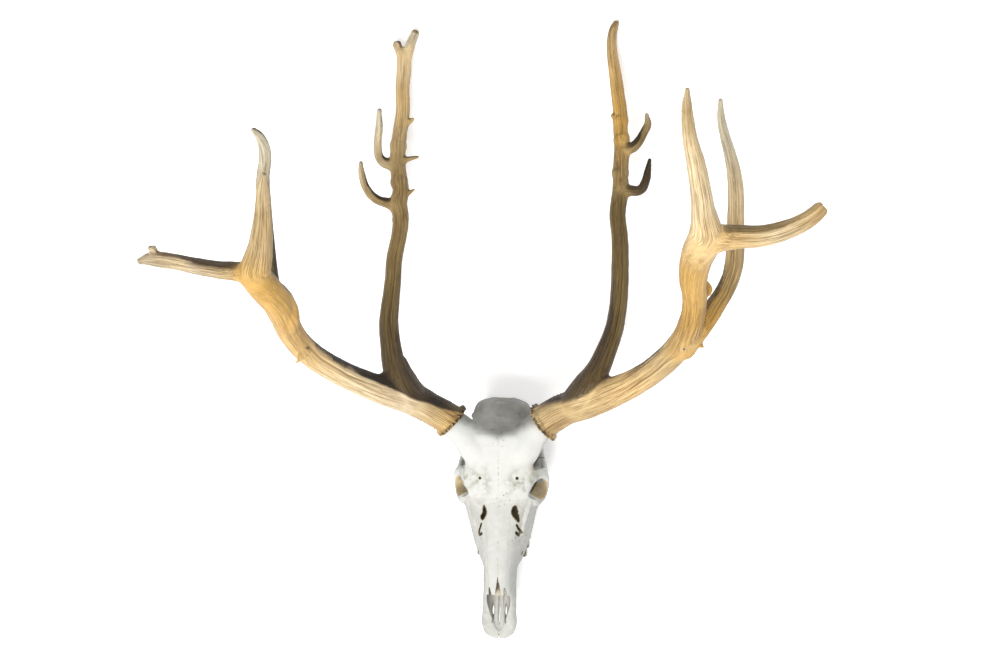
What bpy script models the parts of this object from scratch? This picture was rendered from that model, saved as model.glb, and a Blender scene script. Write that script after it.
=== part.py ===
"""Deer skull with antlers: an upper skull without its lower jaw, and two branching antlers.

The skull's own frame has its origin under the tip of the nose, on the plane that the teeth bite on.
+X is to the right as seen from above with the nose towards the viewer, +Y runs from the nose to the
back of the head, and +Z is up.  Left and right in the names are the viewer's.  Sizes are millimetres.  The finished pieces hang on
an empty that tips the skull back until it lies on the tips of its long hind tines and on the two bony
processes beside the neck joint, as it would rest on a table.
"""

import math

import bmesh
import bpy
import numpy as np
from mathutils import Vector

MM = 0.001
GAP = 0.3                    # clear space between two neighbouring bones, mm
REST_TILT = 9.9              # the skull lies tipped back by this angle, degrees
REST_SHIFT = (3.5, -510.0, 47.95)  # brings the middle of the resting skull's footprint to the origin, mm

# Cross sections of face, forehead and braincase.  Each row is one station from the nose backwards:
# distance from the nose tip, then the right half of the outline from the roof's midline round to the
# base's midline as (x, z) pairs: roof, roof shoulder, upper side, widest place, lower side, base edge, base.
OUTLINE = (
    (2, (0, 11), (7, 11), (10, 10.5), (12, 9), (11, 7.5), (7, 7), (0, 7)),
    (11, (0, 14), (13, 14.5), (20, 13.5), (24, 11), (22, 8), (14, 7), (0, 8)),
    (28, (0, 17), (14, 18), (24, 17), (29.5, 13), (27, 9), (16, 8), (0, 9)),
    (48, (0, 26), (14, 26), (22, 24), (28, 17), (26, 10), (16, 10), (0, 10)),
    (68, (0, 40), (13, 40), (21, 36), (27.5, 22), (25, 12), (15, 11), (0, 11)),
    (78, (0, 55), (12, 53), (21, 44), (27.5, 24), (25, 12), (15, 11), (0, 12)),
    (88, (0, 67), (11, 64), (20, 54), (27, 26), (24, 13), (14, 12), (0, 13)),
    (106, (0, 72), (12, 70), (20, 60), (27.5, 27), (24, 13), (14, 13), (0, 14)),
    (123, (0, 77), (14, 74), (21, 63), (28, 28), (26, 14), (15, 13), (0, 15)),
    (140, (0, 81), (15, 78), (24, 65), (37, 29), (37, 15), (25, 14), (0, 19)),
    (163, (0, 87), (16, 84), (27, 71), (45, 31), (42, 14), (28, 14), (0, 22)),
    (190, (0, 93), (18, 89), (32, 77), (51, 36), (45, 14), (29, 14), (0, 23)),
    (215, (0, 99), (22, 95), (39, 85), (57, 46), (48, 15), (30, 15), (0, 23)),
    (236, (0, 105), (28, 102), (48, 93), (61, 54), (49, 19), (29, 19), (0, 26)),
    (254, (0, 111), (34, 109), (54, 100), (55, 64), (44, 26), (27, 28), (0, 36)),
    (275, (0, 118), (38, 116), (57, 106), (48, 74), (35, 42), (21, 39), (0, 41)),
    (298, (0, 125), (38, 123), (54, 112), (43, 82), (34, 50), (22, 42), (0, 42)),
    (322, (0, 133), (37, 131), (53, 119), (43, 85), (36, 55), (24, 43), (0, 42)),
    (341, (0, 138), (38, 137), (54, 121), (46, 86), (40, 55), (25, 42), (0, 41)),
    (350, (0, 134), (32, 131), (48, 113), (47, 84), (41, 55), (26, 42), (0, 41)),
    (364, (0, 121), (29, 117), (44, 101), (48, 79), (42, 54), (26, 41), (0, 40)),
    (383, (0, 105), (28, 101), (42, 89), (46, 71), (40, 52), (26, 42), (0, 41)),
    (395, (0, 93), (24, 91), (36, 82), (39, 66), (34, 52), (20, 45), (0, 44)),
    (402, (0, 80), (13, 79), (20, 73), (22, 62), (18, 54), (11, 50), (0, 50)),
)

# Cheek teeth of one side, front to back: (x, y, width, length).  Each stands on the plane z = 0.
TEETH = ((34, 147, 11, 13), (36, 161, 13, 14), (38, 175.5, 14, 14), (40, 192, 15.5, 16.5),
         (41.5, 210.5, 16.5, 18.5), (41.5, 230, 16, 19))
TOOTH_ROOT = 20.0

# The two nasal bones together: (distance from the nose tip, half width), and how deep their lower edge
# lies under the roof of the face.
NASALS = ((76, 9), (84, 12.5), (92, 14), (106, 15), (135, 16), (165, 17), (196, 19), (218, 18), (230, 14),
          (240, 5))
NASAL_DEPTH = 9.0

# Planes along which the face and the braincase meet their neighbours: (y, z) at the roof and at the base.
SNOUT_SEAM = ((104, 66), (60, 5))
BROW_SEAM = ((238, 108), (262, 28))
CROWN_SEAM = ((356, 130), (300, 40))
CROWN_WIDTH = ((290, 33), (345, 33), (353, 40), (362, 48), (372, 58), (384, 80), (420, 90))
CROWN_DROP = 95.0
CHEEK_BOX = ((57.5, 232, 22), (90, 306, 83))

# Each tube below is a line of stations (x, y, z, radius) down the middle of a bone bar or an antler
# branch.  Bars of the skull are given for the right side only and mirrored.
PEDICLE = {"left": ((-22, 308, 98, 34), (-42, 330, 109, 29), (-60, 349, 119, 24.5), (-88, 371, 130, 22.5)),
           "right": ((22, 308, 98, 34), (41, 331, 109, 30), (57, 354, 121, 25.5), (84, 377, 131, 23.5))}
ARCH = ((52, 226, 46, 9), (64, 246, 46, 7.5), (69.5, 265, 46, 6.5), (69.5, 284, 46, 6), (65, 305, 44, 5.5),
        (60, 324, 46, 6), (46, 342, 52, 9))
ORBIT = {"centre": (63, 260, 75), "radius": 24.5, "rim": 4.6, "lean": 21.0, "turn": -9.0}
NECK_PROCESS = ((38, 370, 62, 9), (38, 378, 46, 8), (36.5, 383, 30, 5.5), (36, 385, 21.8, 3.6))

# Openings of the skull, right side: (centre), (half sizes), (turns about X, Y and Z in degrees).
SIDE_HOLES = {
    "orbit": ((67, 260, 75), (27, 20.5, 21.5), (0, 20, 0)),
    "vacuity": ((27, 217, 93), (5.2, 15, 17), (0, 38, 12)),
    "lower_vacuity": ((33.5, 188, 81), (3.0, 12, 12), (0, 50, 16)),
    "palate_slot": ((10.4, 48, 10), (2.8, 22, 30), (0, 0, 0)),
    "side_notch": ((14, 84, 64), (3.2, 9, 10), (0, 0, 0)),
}
MIDDLE_HOLES = {
    "nose_front": ((0, 48, 37), (16, 27, 25), (0, 0, 0)),
    "nose_back": ((0, 73, 45), (19.5, 24, 17), (12, 0, 0)),
    "nasal_notch": ((0, 93, 74), (3.6, 17, 10), (0, 0, 0)),
    "neck_opening": ((0, 406, 66), (13, 20, 12), (0, 0, 0)),
    "choana": ((0, 287, 30), (12, 30, 13), (0, 0, 0)),
}

BURR = {"left": {"centre": (-73, 361, 126), "facing": (-0.74, 0.64, 0.20), "radius": 26.5, "lip": 4.2},
        "right": {"centre": (67, 365, 126), "facing": (0.79, 0.58, 0.20), "radius": 28.5, "lip": 4.4}}

ANTLER = {
    "left": {
        "stem": ((-61, 350, 122, 24), (-73, 361, 126, 25.5), (-107, 382, 138, 25), (-144, 399, 157, 24.5),
                 (-179, 410, 183, 23), (-212, 424, 216, 21), (-244, 442, 257, 19.5), (-275, 466, 302, 19.5),
                 (-293, 494, 350, 19.5), (-298, 523, 400, 21), (-300, 543, 444, 22.5), (-311, 563, 484, 23),
                 (-320, 579, 508, 23)),
        "upper": ((-320, 579, 508, 23), (-312, 594, 527, 21.5), (-302, 615, 552, 18), (-295, 635, 577, 15.5),
                  (-289, 657, 602, 12.5), (-284, 679, 625, 10.5), (-281, 695, 642, 8.3), (-277, 709, 656, 4)),
        "outer": ((-320, 579, 508, 23), (-340, 582, 508, 15.5), (-371, 584, 513, 13), (-401, 588, 516, 12.4),
                  (-431, 593, 516, 11.8), (-458, 596, 514, 11.6), (-473, 596, 512, 9), (-485, 593, 510, 5.5)),
        "outer_stub": ((-456, 596, 514, 9.5), (-464, 606, 517, 7), (-465, 611, 519, 6)),
        "back": ((-281, 468, 298, 18), (-300, 492, 306, 17), (-319, 522, 316, 16), (-332, 555, 324, 15.3),
                 (-338, 590, 331, 14.8), (-341, 621, 337, 14.3), (-343, 658, 346, 13.2), (-342, 694, 362, 11.6),
                 (-338, 725, 388, 10.4), (-329, 753, 418, 9.5), (-326, 769, 446, 8.4), (-327, 780, 474, 6.3),
                 (-329, 785, 500, 4)),
        "hind": ((-140, 399, 158, 25), (-154, 421, 168, 25), (-164, 446, 173, 20), (-171, 475, 171, 17),
                 (-177, 517, 167, 15.6), (-176, 549, 163, 14.3), (-174, 583, 159, 13.2), (-173, 621, 155, 12.8),
                 (-167, 658, 152, 12.6), (-166, 685, 150, 13.2), (-170, 709, 149, 14), (-168, 730, 148, 13.2),
                 (-174, 767, 145, 13), (-175, 796, 143, 12.4), (-173, 824, 141, 11.9), (-170, 854, 139, 11.3),
                 (-172, 896, 136, 11.3), (-171, 929, 134, 12), (-172, 944, 133, 11.5)),
        "hind_fork_a": ((-170, 940, 133, 10.4), (-164, 958, 132, 8.4), (-159, 974, 130.4, 7.2),
                        (-156, 982, 129.8, 7)),
        "hind_fork_b": ((-174, 944, 133, 9.6), (-181, 957, 131.5, 7.4), (-184, 964, 130.5, 7.4)),
        "snag_low": ((-173, 704, 148, 11), (-187, 708, 152, 8.8), (-207, 715, 160, 7.5), (-220, 730, 167, 6.6),
                     (-227, 752, 173, 5.6), (-229, 768, 176, 4)),
        "snag_high": ((-175, 770, 144, 11), (-189, 771, 147, 9.4), (-202, 779, 154, 7.6), (-205, 798, 161, 6.8),
                      (-203, 826, 167, 6.2), (-203, 852, 171, 4.8)),
        "thorn_1": ((-166, 720, 148, 6), (-150, 723, 149, 3.4), (-144, 724, 149, 2.6)),
        "thorn_2": ((-170, 776, 145, 6), (-152, 780, 147, 3.6), (-144, 782, 148, 2.6)),
        "thorn_3": ((-168, 842, 140, 7), (-158, 845, 141, 4.4)),
    },
    "right": {
        "stem": ((54, 355, 122, 25.5), (67, 365, 126, 27), (104, 389, 139, 26), (142, 402, 156, 25),
                 (181, 420, 181, 23.5), (218, 439, 213, 21), (255, 466, 255, 20), (285, 498, 296, 20),
                 (300, 531, 337, 18.5), (305, 566, 378, 18), (302, 595, 417, 20.5), (306, 623, 455, 23.5),
                 (317, 647, 492, 25.5)),
        "upper": ((317, 647, 492, 25), (317, 665, 520, 21.5), (313, 684, 545, 17.2), (310, 703, 566, 15),
                  (306, 723, 588, 14), (300, 748, 612, 12.6), (293, 772, 634, 10.5), (289, 795, 653, 8.7),
                  (287, 817, 668, 6.9), (287, 831, 677, 4.2)),
        "outer": ((317, 647, 492, 25), (340, 650, 500, 19.5), (368, 652, 505, 16.8), (397, 654, 508, 15.3),
                  (428, 663, 508, 14.1), (451, 674, 506, 12.8), (466, 685, 504, 12.2), (473, 692, 503, 11.6)),
        "back": ((290, 495, 293, 20), (300, 509, 299, 19), (314, 527, 302, 17.9), (328, 546, 305, 16),
                 (341, 567, 309, 14.6), (352, 588, 313, 14), (360, 615, 319, 14.1), (362, 644, 327, 13.9),
                 (361, 682, 340, 12.9), (360, 718, 357, 12.1), (357, 745, 375, 10.9), (350, 772, 398, 9.2),
                 (341, 798, 428, 7.6), (334, 821, 462, 6), (332, 838, 492, 4)),
        "hook": ((313, 588, 385, 8), (324, 590, 382, 6), (330, 597, 380, 4)),
        "hind": ((125, 403, 158, 25), (144, 429, 168, 25), (158, 456, 174, 19), (169, 485, 171, 16.4),
                 (180, 519, 167, 14.8), (184, 546, 163, 14.2), (186, 578, 160, 14.1), (186, 616, 156, 13.9),
                 (184, 660, 153, 13.4), (179, 703, 150, 13.3), (182, 738, 148, 13.4), (181, 774, 146, 12.7),
                 (182, 804, 143, 12.9), (179, 830, 141, 11.8), (177, 862, 139, 11.5), (172, 894, 137, 10.9),
                 (166, 930, 135, 10), (161, 958, 133, 8.7), (160, 982, 132, 7.6), (163, 998, 131.4, 6.6),
                 (166, 1005, 131, 5)),
        "snag_low": ((181, 738, 148, 11), (197, 738, 152, 9.1), (213, 739, 158, 7.9), (221, 751, 164, 6.9),
                     (225, 770, 169, 5.5), (227, 784, 172, 3.6)),
        "snag_high": ((180, 803, 143, 10.4), (196, 805, 148, 9.1), (207, 814, 154, 7.7), (216, 829, 160, 6.6),
                      (222, 842, 165, 6), (221, 854, 168, 3.6)),
    },
}

# Where an antler is parted: a thin disc across the branch, (centre), (direction along the branch), radius.
PARTINGS = {
    "left": (((-167, 456, 173), (-0.22, 1.0, 0.0), 33), ((-192, 415, 196), (-0.74, 0.30, 0.60), 34),
             ((-322, 537, 320), (-0.42, 1.0, 0.25), 28), ((-307, 603, 536), (0.32, 0.55, 0.80), 30),
             ((-350, 583, 510), (-1.0, 0.05, 0.15), 26)),
    "right": (((159, 463, 173), (0.36, 1.0, 0.0), 33), ((194, 426, 191), (0.76, 0.35, 0.55), 34),
              ((320, 535, 303), (0.55, 0.80, 0.12), 27), ((316, 674, 531), (-0.10, 0.60, 0.82), 32),
              ((350, 651, 502), (1.0, 0.10, 0.22), 27)),
}
ANTLER_PIECES = {
    "left": {"antler_base": (-107, 382, 138), "front_beam": (-275, 466, 302), "hind_tine": (-173, 621, 155),
             "back_branch": (-343, 658, 346), "upper_prong": (-289, 657, 602), "outer_prong": (-431, 593, 516)},
    "right": {"antler_base": (104, 389, 139), "front_beam": (285, 498, 296), "hind_tine": (186, 616, 156),
              "back_branch": (361, 682, 340), "upper_prong": (306, 723, 588), "outer_prong": (428, 663, 508)},
}


def clear_scene():
    for old in list(bpy.data.objects):
        bpy.data.objects.remove(old, do_unlink=True)


def new_collection(name):
    made = bpy.data.collections.new(name)
    bpy.context.scene.collection.children.link(made)
    return made


def bone_material(name, colour, roughness):
    made = bpy.data.materials.new(name)
    made.use_nodes = True
    shader = made.node_tree.nodes["Principled BSDF"]
    shader.inputs["Base Color"].default_value = (*colour, 1.0)
    shader.inputs["Roughness"].default_value = roughness
    shader.inputs["Metallic"].default_value = 0.0
    return made


def link_mesh(name, mesh, collection):
    made = bpy.data.objects.new(name, mesh)
    collection.objects.link(made)
    return made


def evaluated_mesh(thing):
    bpy.context.view_layer.update()
    graph = bpy.context.evaluated_depsgraph_get()
    return bpy.data.meshes.new_from_object(thing.evaluated_get(graph), depsgraph=graph)


def settle(thing):
    """Keep what the modifiers make as the object's own mesh."""
    mesh = evaluated_mesh(thing)
    thing.modifiers.clear()
    thing.data = mesh
    return thing


def eased(rows, steps):
    """A smooth line through the rows, with the given number of steps between each two of them."""
    rows = np.array(rows, float)
    ends = np.vstack([2 * rows[0] - rows[1], rows, 2 * rows[-1] - rows[-2]])
    out = []
    for i in range(len(rows) - 1):
        a, b, c, d = ends[i:i + 4]
        for t in np.arange(steps) / steps:
            out.append(0.5 * (2 * b + (c - a) * t + (2 * a - 5 * b + 4 * c - d) * t ** 2
                              + (3 * b - a - 3 * c + d) * t ** 3))
    out.append(rows[-1])
    return np.array(out)


def outline_ring(half, steps):
    """Close the right half of a section into a full smooth ring of (x, z)."""
    half = np.array(half, float)
    left = half[-2:0:-1] * (-1, 1)
    loop = np.vstack([half, left])
    ring = eased(np.vstack([loop[-1:], loop, loop[:2]]), steps)
    return ring[steps:steps + len(loop) * steps]


def loft(name, rings, collection):
    """Skin a row of equal rings, with both ends closed."""
    shape = bmesh.new()
    rows = [[shape.verts.new(Vector(p) * MM) for p in ring] for ring in rings]
    count = len(rows[0])
    for low, high in zip(rows, rows[1:]):
        for i in range(count):
            j = (i + 1) % count
            shape.faces.new((low[i], low[j], high[j], high[i]))
    shape.faces.new(rows[0][::-1])
    shape.faces.new(rows[-1])
    bmesh.ops.recalc_face_normals(shape, faces=shape.faces)
    mesh = bpy.data.meshes.new(name)
    shape.to_mesh(mesh)
    shape.free()
    return link_mesh(name, mesh, collection)


def ball(name, centre, radii, collection, turn=(0, 0, 0), segments=20):
    shape = bmesh.new()
    bmesh.ops.create_uvsphere(shape, u_segments=segments, v_segments=segments * 2 // 3, radius=1.0)
    mesh = bpy.data.meshes.new(name)
    shape.to_mesh(mesh)
    shape.free()
    made = link_mesh(name, mesh, collection)
    made.location = Vector(centre) * MM
    made.scale = Vector(radii) * MM
    made.rotation_euler = [math.radians(a) for a in turn]
    return made


def tube(name, stations, collection, closed=False):
    """A round bar through the stations: a curve with a bevel, made a mesh, with rounded ends."""
    line = bpy.data.curves.new(name, "CURVE")
    line.dimensions = "3D"
    line.bevel_depth = MM
    line.bevel_resolution = 3
    line.resolution_u = 5
    line.use_fill_caps = not closed
    spline = line.splines.new("BEZIER")
    spline.bezier_points.add(len(stations) - 1)
    spline.use_cyclic_u = closed
    spline.radius_interpolation = "CARDINAL"
    for point, (x, y, z, radius) in zip(spline.bezier_points, stations):
        point.co = Vector((x, y, z)) * MM
        point.radius = radius
        point.handle_left_type = "AUTO"
        point.handle_right_type = "AUTO"
    guide = bpy.data.objects.new(name + "_line", line)
    collection.objects.link(guide)
    mesh = evaluated_mesh(guide)
    shape = bmesh.new()
    shape.from_mesh(mesh)
    bmesh.ops.remove_doubles(shape, verts=shape.verts, dist=1e-6)
    shape.to_mesh(mesh)
    shape.free()
    made = link_mesh(name, mesh, collection)
    bpy.data.objects.remove(guide, do_unlink=True)
    made_all = [made]
    if not closed:
        for i, (x, y, z, radius) in enumerate((stations[0], stations[-1])):
            made_all.append(ball(f"{name}_end_{i}", (x, y, z), (radius * 0.99,) * 3, collection))
    return made_all


def ring_stations(centre, radius, thickness, lean, turn, count=14):
    """Stations of a round rim that faces +X, leaned back from upright and turned about the vertical."""
    lean, turn = math.radians(lean), math.radians(turn)
    across = Vector((-math.sin(turn), math.cos(turn), 0.0))
    upward = Vector((-math.sin(lean) * math.cos(turn), -math.sin(lean) * math.sin(turn), math.cos(lean)))
    out = []
    for i in range(count):
        angle = 2 * math.pi * i / count
        place = Vector(centre) + radius * (math.cos(angle) * across + 1.05 * math.sin(angle) * upward)
        out.append((*place, thickness))
    return out


def mirrored(stations):
    return [(-x, y, z, r) for x, y, z, r in stations]


def disc(name, centre, facing, radius, thickness, collection, sides=32):
    shape = bmesh.new()
    bmesh.ops.create_cone(shape, cap_ends=True, segments=sides, radius1=radius * MM, radius2=radius * MM,
                          depth=thickness * MM)
    mesh = bpy.data.meshes.new(name)
    shape.to_mesh(mesh)
    shape.free()
    made = link_mesh(name, mesh, collection)
    made.location = Vector(centre) * MM
    made.rotation_mode = "QUATERNION"
    made.rotation_quaternion = Vector((0, 0, 1)).rotation_difference(Vector(facing).normalized())
    return made


def box(name, low, high, collection):
    shape = bmesh.new()
    bmesh.ops.create_cube(shape, size=1.0)
    mesh = bpy.data.meshes.new(name)
    shape.to_mesh(mesh)
    shape.free()
    made = link_mesh(name, mesh, collection)
    made.location = (Vector(low) + Vector(high)) / 2 * MM
    made.scale = (Vector(high) - Vector(low)) * MM
    return made


def joined(name, things, collection):
    """Put several meshes into one, in the skull's own frame."""
    shape = bmesh.new()
    bpy.context.view_layer.update()
    for thing in things:
        part = bmesh.new()
        part.from_mesh(thing.data)
        bmesh.ops.transform(part, matrix=thing.matrix_world, verts=part.verts)
        holder = bpy.data.meshes.new("holder")
        part.to_mesh(holder)
        part.free()
        shape.from_mesh(holder)
        bpy.data.meshes.remove(holder)
        bpy.data.objects.remove(thing, do_unlink=True)
    mesh = bpy.data.meshes.new(name)
    shape.to_mesh(mesh)
    shape.free()
    return link_mesh(name, mesh, collection)


def grown_together(thing, voxel, rounds, faces):
    """Melt overlapping shapes into one skin, ease it and thin it out to about the given triangles."""
    melt = thing.modifiers.new("melt", "REMESH")
    melt.mode = "VOXEL"
    melt.voxel_size = voxel * MM
    settle(thing)
    ease = thing.modifiers.new("ease", "SMOOTH")
    ease.factor = 0.5
    ease.iterations = rounds
    settle(thing)
    thin = thing.modifiers.new("thin", "DECIMATE")
    thin.ratio = min(1.0, faces / (2 * len(thing.data.polygons)))
    thin.use_collapse_triangulate = True
    return settle(thing)


def combine(thing, other, operation, keep=False):
    cut = thing.modifiers.new("combine", "BOOLEAN")
    cut.operation = operation
    cut.solver = "EXACT"
    cut.object = other
    settle(thing)
    if not keep:
        bpy.data.objects.remove(other, do_unlink=True)
    return thing


def loose_pieces(thing, collection, smallest=40.0):
    """Take a mesh apart into its separate closed shells; crumbs under the smallest volume, mm3, go."""
    shape = bmesh.new()
    shape.from_mesh(thing.data)
    shape.faces.ensure_lookup_table()
    seen = set()
    out = []
    for face in shape.faces:
        if face.index in seen:
            continue
        group, stack = [], [face]
        seen.add(face.index)
        while stack:
            here = stack.pop()
            group.append(here)
            for edge in here.edges:
                for near in edge.link_faces:
                    if near.index not in seen:
                        seen.add(near.index)
                        stack.append(near)
        part = bmesh.new()
        made = {}
        for here in group:
            corners = []
            for v in here.verts:
                if v.index not in made:
                    made[v.index] = part.verts.new(v.co)
                corners.append(made[v.index])
            part.faces.new(corners)
        if abs(part.calc_volume()) * 1e9 > smallest:
            mesh = bpy.data.meshes.new(thing.name)
            part.to_mesh(mesh)
            out.append(link_mesh(thing.name, mesh, collection))
        part.free()
    shape.free()
    bpy.data.objects.remove(thing, do_unlink=True)
    return out


def nearest_piece(pieces, spot):
    spot = Vector(spot) * MM
    return min(pieces, key=lambda p: min((v.co - spot).length for v in p.data.vertices))


def half_space(name, spot, facing, collection, reach=700.0):
    """A large block whose one face passes through the spot; it fills the side that facing points to."""
    facing = Vector(facing).normalized()
    middle = Vector(spot) + facing * reach / 2
    made = disc(name, middle, facing, reach, reach, collection, sides=8)
    return made


def part_across(thing, spot, facing, collection):
    """Part a piece in two by a plane, a hair apart; gives back the side facing points to, then the rest."""
    facing = Vector(facing).normalized()
    other = link_mesh(thing.name + "_other", thing.data.copy(), collection)
    ahead = half_space("ahead", Vector(spot) - facing * GAP / 2, facing, collection)
    combine(thing, ahead, "DIFFERENCE")
    behind = half_space("behind", Vector(spot) + facing * GAP / 2, -facing, collection)
    combine(other, behind, "DIFFERENCE")
    return other, thing


def tidy(thing):
    """Merge what the cutting left doubled, and make every face a triangle or a flat polygon."""
    shape = bmesh.new()
    shape.from_mesh(thing.data)
    bmesh.ops.remove_doubles(shape, verts=shape.verts, dist=2e-6)
    bmesh.ops.dissolve_degenerate(shape, edges=shape.edges, dist=2e-6)
    bmesh.ops.triangulate(shape, faces=shape.faces)
    shape.to_mesh(thing.data)
    shape.free()
    return thing


def make_antler(side, cutters):
    """One antler: its branches melted together, the knobbly burr round its foot, parted at the forks."""
    shapes = []
    for name, stations in ANTLER[side].items():
        shapes += tube(f"{name}_{side}", stations, cutters)
    burr = BURR[side]
    facing = Vector(burr["facing"]).normalized()
    knobs = 22
    side_way = facing.orthogonal().normalized()
    for i in range(knobs):
        angle = 2 * math.pi * i / knobs
        out = math.cos(angle) * side_way + math.sin(angle) * facing.cross(side_way)
        size = burr["lip"] * (1.05 + 0.22 * math.sin(3.1 * i))
        place = Vector(burr["centre"]) + out * burr["radius"] + facing * (size * 0.9)
        shapes.append(ball(f"knob_{side}_{i}", place, (size, size, size), cutters))
    antler = grown_together(joined(f"antler_{side}", shapes, cutters), 2.4, 3, 1884)
    foot = disc("foot", Vector(burr["centre"]) - facing * 40, facing, 60, 80, cutters)
    combine(antler, foot, "DIFFERENCE")
    blades = [disc(f"parting_{side}_{i}", spot, way, radius, GAP, cutters, 16)
              for i, (spot, way, radius) in enumerate(PARTINGS[side])]
    for blade in blades:
        combine(antler, blade, "DIFFERENCE")
    loose = loose_pieces(antler, cutters)
    made = []
    for name, spot in ANTLER_PIECES[side].items():
        piece = nearest_piece(loose, spot)
        loose.remove(piece)
        piece.name = f"{name}_{side}"
        made.append(piece)
    for crumb in loose:
        bpy.data.objects.remove(crumb, do_unlink=True)
    return made


def tooth_block(name, x, y, width, length, collection):
    """One cheek tooth: a block that narrows a little towards its root, with its edges eased."""
    shape = bmesh.new()
    bmesh.ops.create_cube(shape, size=1.0)
    bmesh.ops.scale(shape, vec=(width, length, TOOTH_ROOT), verts=shape.verts)
    for v in shape.verts:
        if v.co.z > 0:
            v.co.x *= 0.84
            v.co.y *= 0.86
    long_edges = [e for e in shape.edges if abs(e.verts[0].co.z - e.verts[1].co.z) > 1]
    bmesh.ops.bevel(shape, geom=long_edges, offset=2.6, segments=1, affect="EDGES")
    bmesh.ops.translate(shape, vec=(x, y, TOOTH_ROOT / 2), verts=shape.verts)
    bmesh.ops.scale(shape, vec=(MM, MM, MM), verts=shape.verts)
    if x < 0:
        bmesh.ops.recalc_face_normals(shape, faces=shape.faces)
    mesh = bpy.data.meshes.new(name)
    shape.to_mesh(mesh)
    shape.free()
    return link_mesh(name, mesh, collection)


def make_skull(cutters):
    """The whole skull as one body: the lofted core and its bars melted together, then opened up."""
    half = eased([[row[0]] + [v for pair in row[1:] for v in pair] for row in OUTLINE], 4)
    rings = []
    for row in half:
        ring = outline_ring(row[1:].reshape(-1, 2), 4)
        rings.append([(x, row[0], z) for x, z in ring])
    shapes = [loft("core", rings, cutters)]
    for side, sign in (("left", -1), ("right", 1)):
        shapes += tube(f"pedicle_{side}", PEDICLE[side], cutters)
        bars = {"arch": ARCH, "process": NECK_PROCESS}
        for name, stations in bars.items():
            stations = stations if sign > 0 else mirrored(stations)
            shapes += tube(f"{name}_{side}", stations, cutters)
        rim = ring_stations(ORBIT["centre"], ORBIT["radius"], ORBIT["rim"], ORBIT["lean"], ORBIT["turn"])
        rim = rim if sign > 0 else mirrored(rim)
        shapes += tube(f"rim_{side}", rim, cutters, closed=True)
        shapes.append(ball("condyle", (sign * 15, 391, 53), (11, 11, 12), cutters))
        shapes.append(ball("bulla", (sign * 25, 356, 36), (9, 15, 11), cutters))
        shapes.append(ball("wing", (sign * 17, 289, 34), (3.6, 26, 15), cutters))
        shapes.append(ball("brow", (sign * 46, 274, 105), (13, 27, 7), cutters, (0, sign * 18, 0)))
        shapes.append(ball("temple", (sign * 44, 349, 62), (9, 22, 14), cutters))
    skull = grown_together(joined("skull", shapes, cutters), 2.2, 4, 1420)
    for sign in (-1, 1):
        for name, (centre, radii, turn) in SIDE_HOLES.items():
            place = (sign * centre[0], centre[1], centre[2])
            hole = ball(name, place, radii, cutters, (turn[0], sign * turn[1], sign * turn[2]), 10)
            combine(skull, hole, "DIFFERENCE")
    for name, (centre, radii, turn) in MIDDLE_HOLES.items():
        combine(skull, ball(name, centre, radii, cutters, turn, 10), "DIFFERENCE")
    for side in ("left", "right"):
        burr = BURR[side]
        facing = Vector(burr["facing"]).normalized()
        seat = disc("seat", Vector(burr["centre"]) + facing * (40 - GAP), facing, 52, 80, cutters)
        combine(skull, seat, "DIFFERENCE")
    for sign in (-1, 1):
        for x, y, width, length in TEETH:
            combine(skull, tooth_block("tooth", sign * x, y, width, length, cutters), "UNION")
    return largest(skull, cutters)


def largest(thing, collection):
    pieces = loose_pieces(thing, collection)
    pieces.sort(key=lambda p: len(p.data.polygons))
    for crumb in pieces[:-1]:
        bpy.data.objects.remove(crumb, do_unlink=True)
    return pieces[-1]


def take_off(rest, name, block, collection):
    """Part one bone from the rest with a block: block(grow) makes it, larger all round by grow mm."""
    piece = link_mesh(name, rest.data.copy(), collection)
    combine(piece, block(0.0), "INTERSECT")
    combine(rest, block(GAP), "DIFFERENCE")
    piece = largest(piece, collection)
    piece.name = name
    return piece, largest(rest, collection)


def seam_side(seam, ahead, collection):
    """A block(grow) maker for all that lies ahead of, or behind, a seam given by two (y, z) points."""
    (y0, z0), (y1, z1) = seam
    facing = Vector((0, z0 - z1, y1 - y0)).normalized()
    if (facing.y < 0) != ahead:
        facing = -facing

    def block(grow):
        return half_space("seam", Vector((0, y0, z0)) - facing * grow, facing, collection)
    return block


def halves(thing, name, collection):
    """Part a bone along the skull's midline into its right and left halves."""
    right, left = part_across(thing, (0, 0, 0), (1, 0, 0), collection)
    right, left = largest(right, collection), largest(left, collection)
    right.name = name + "_right"
    left.name = name + "_left"
    return [right, left]


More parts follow.
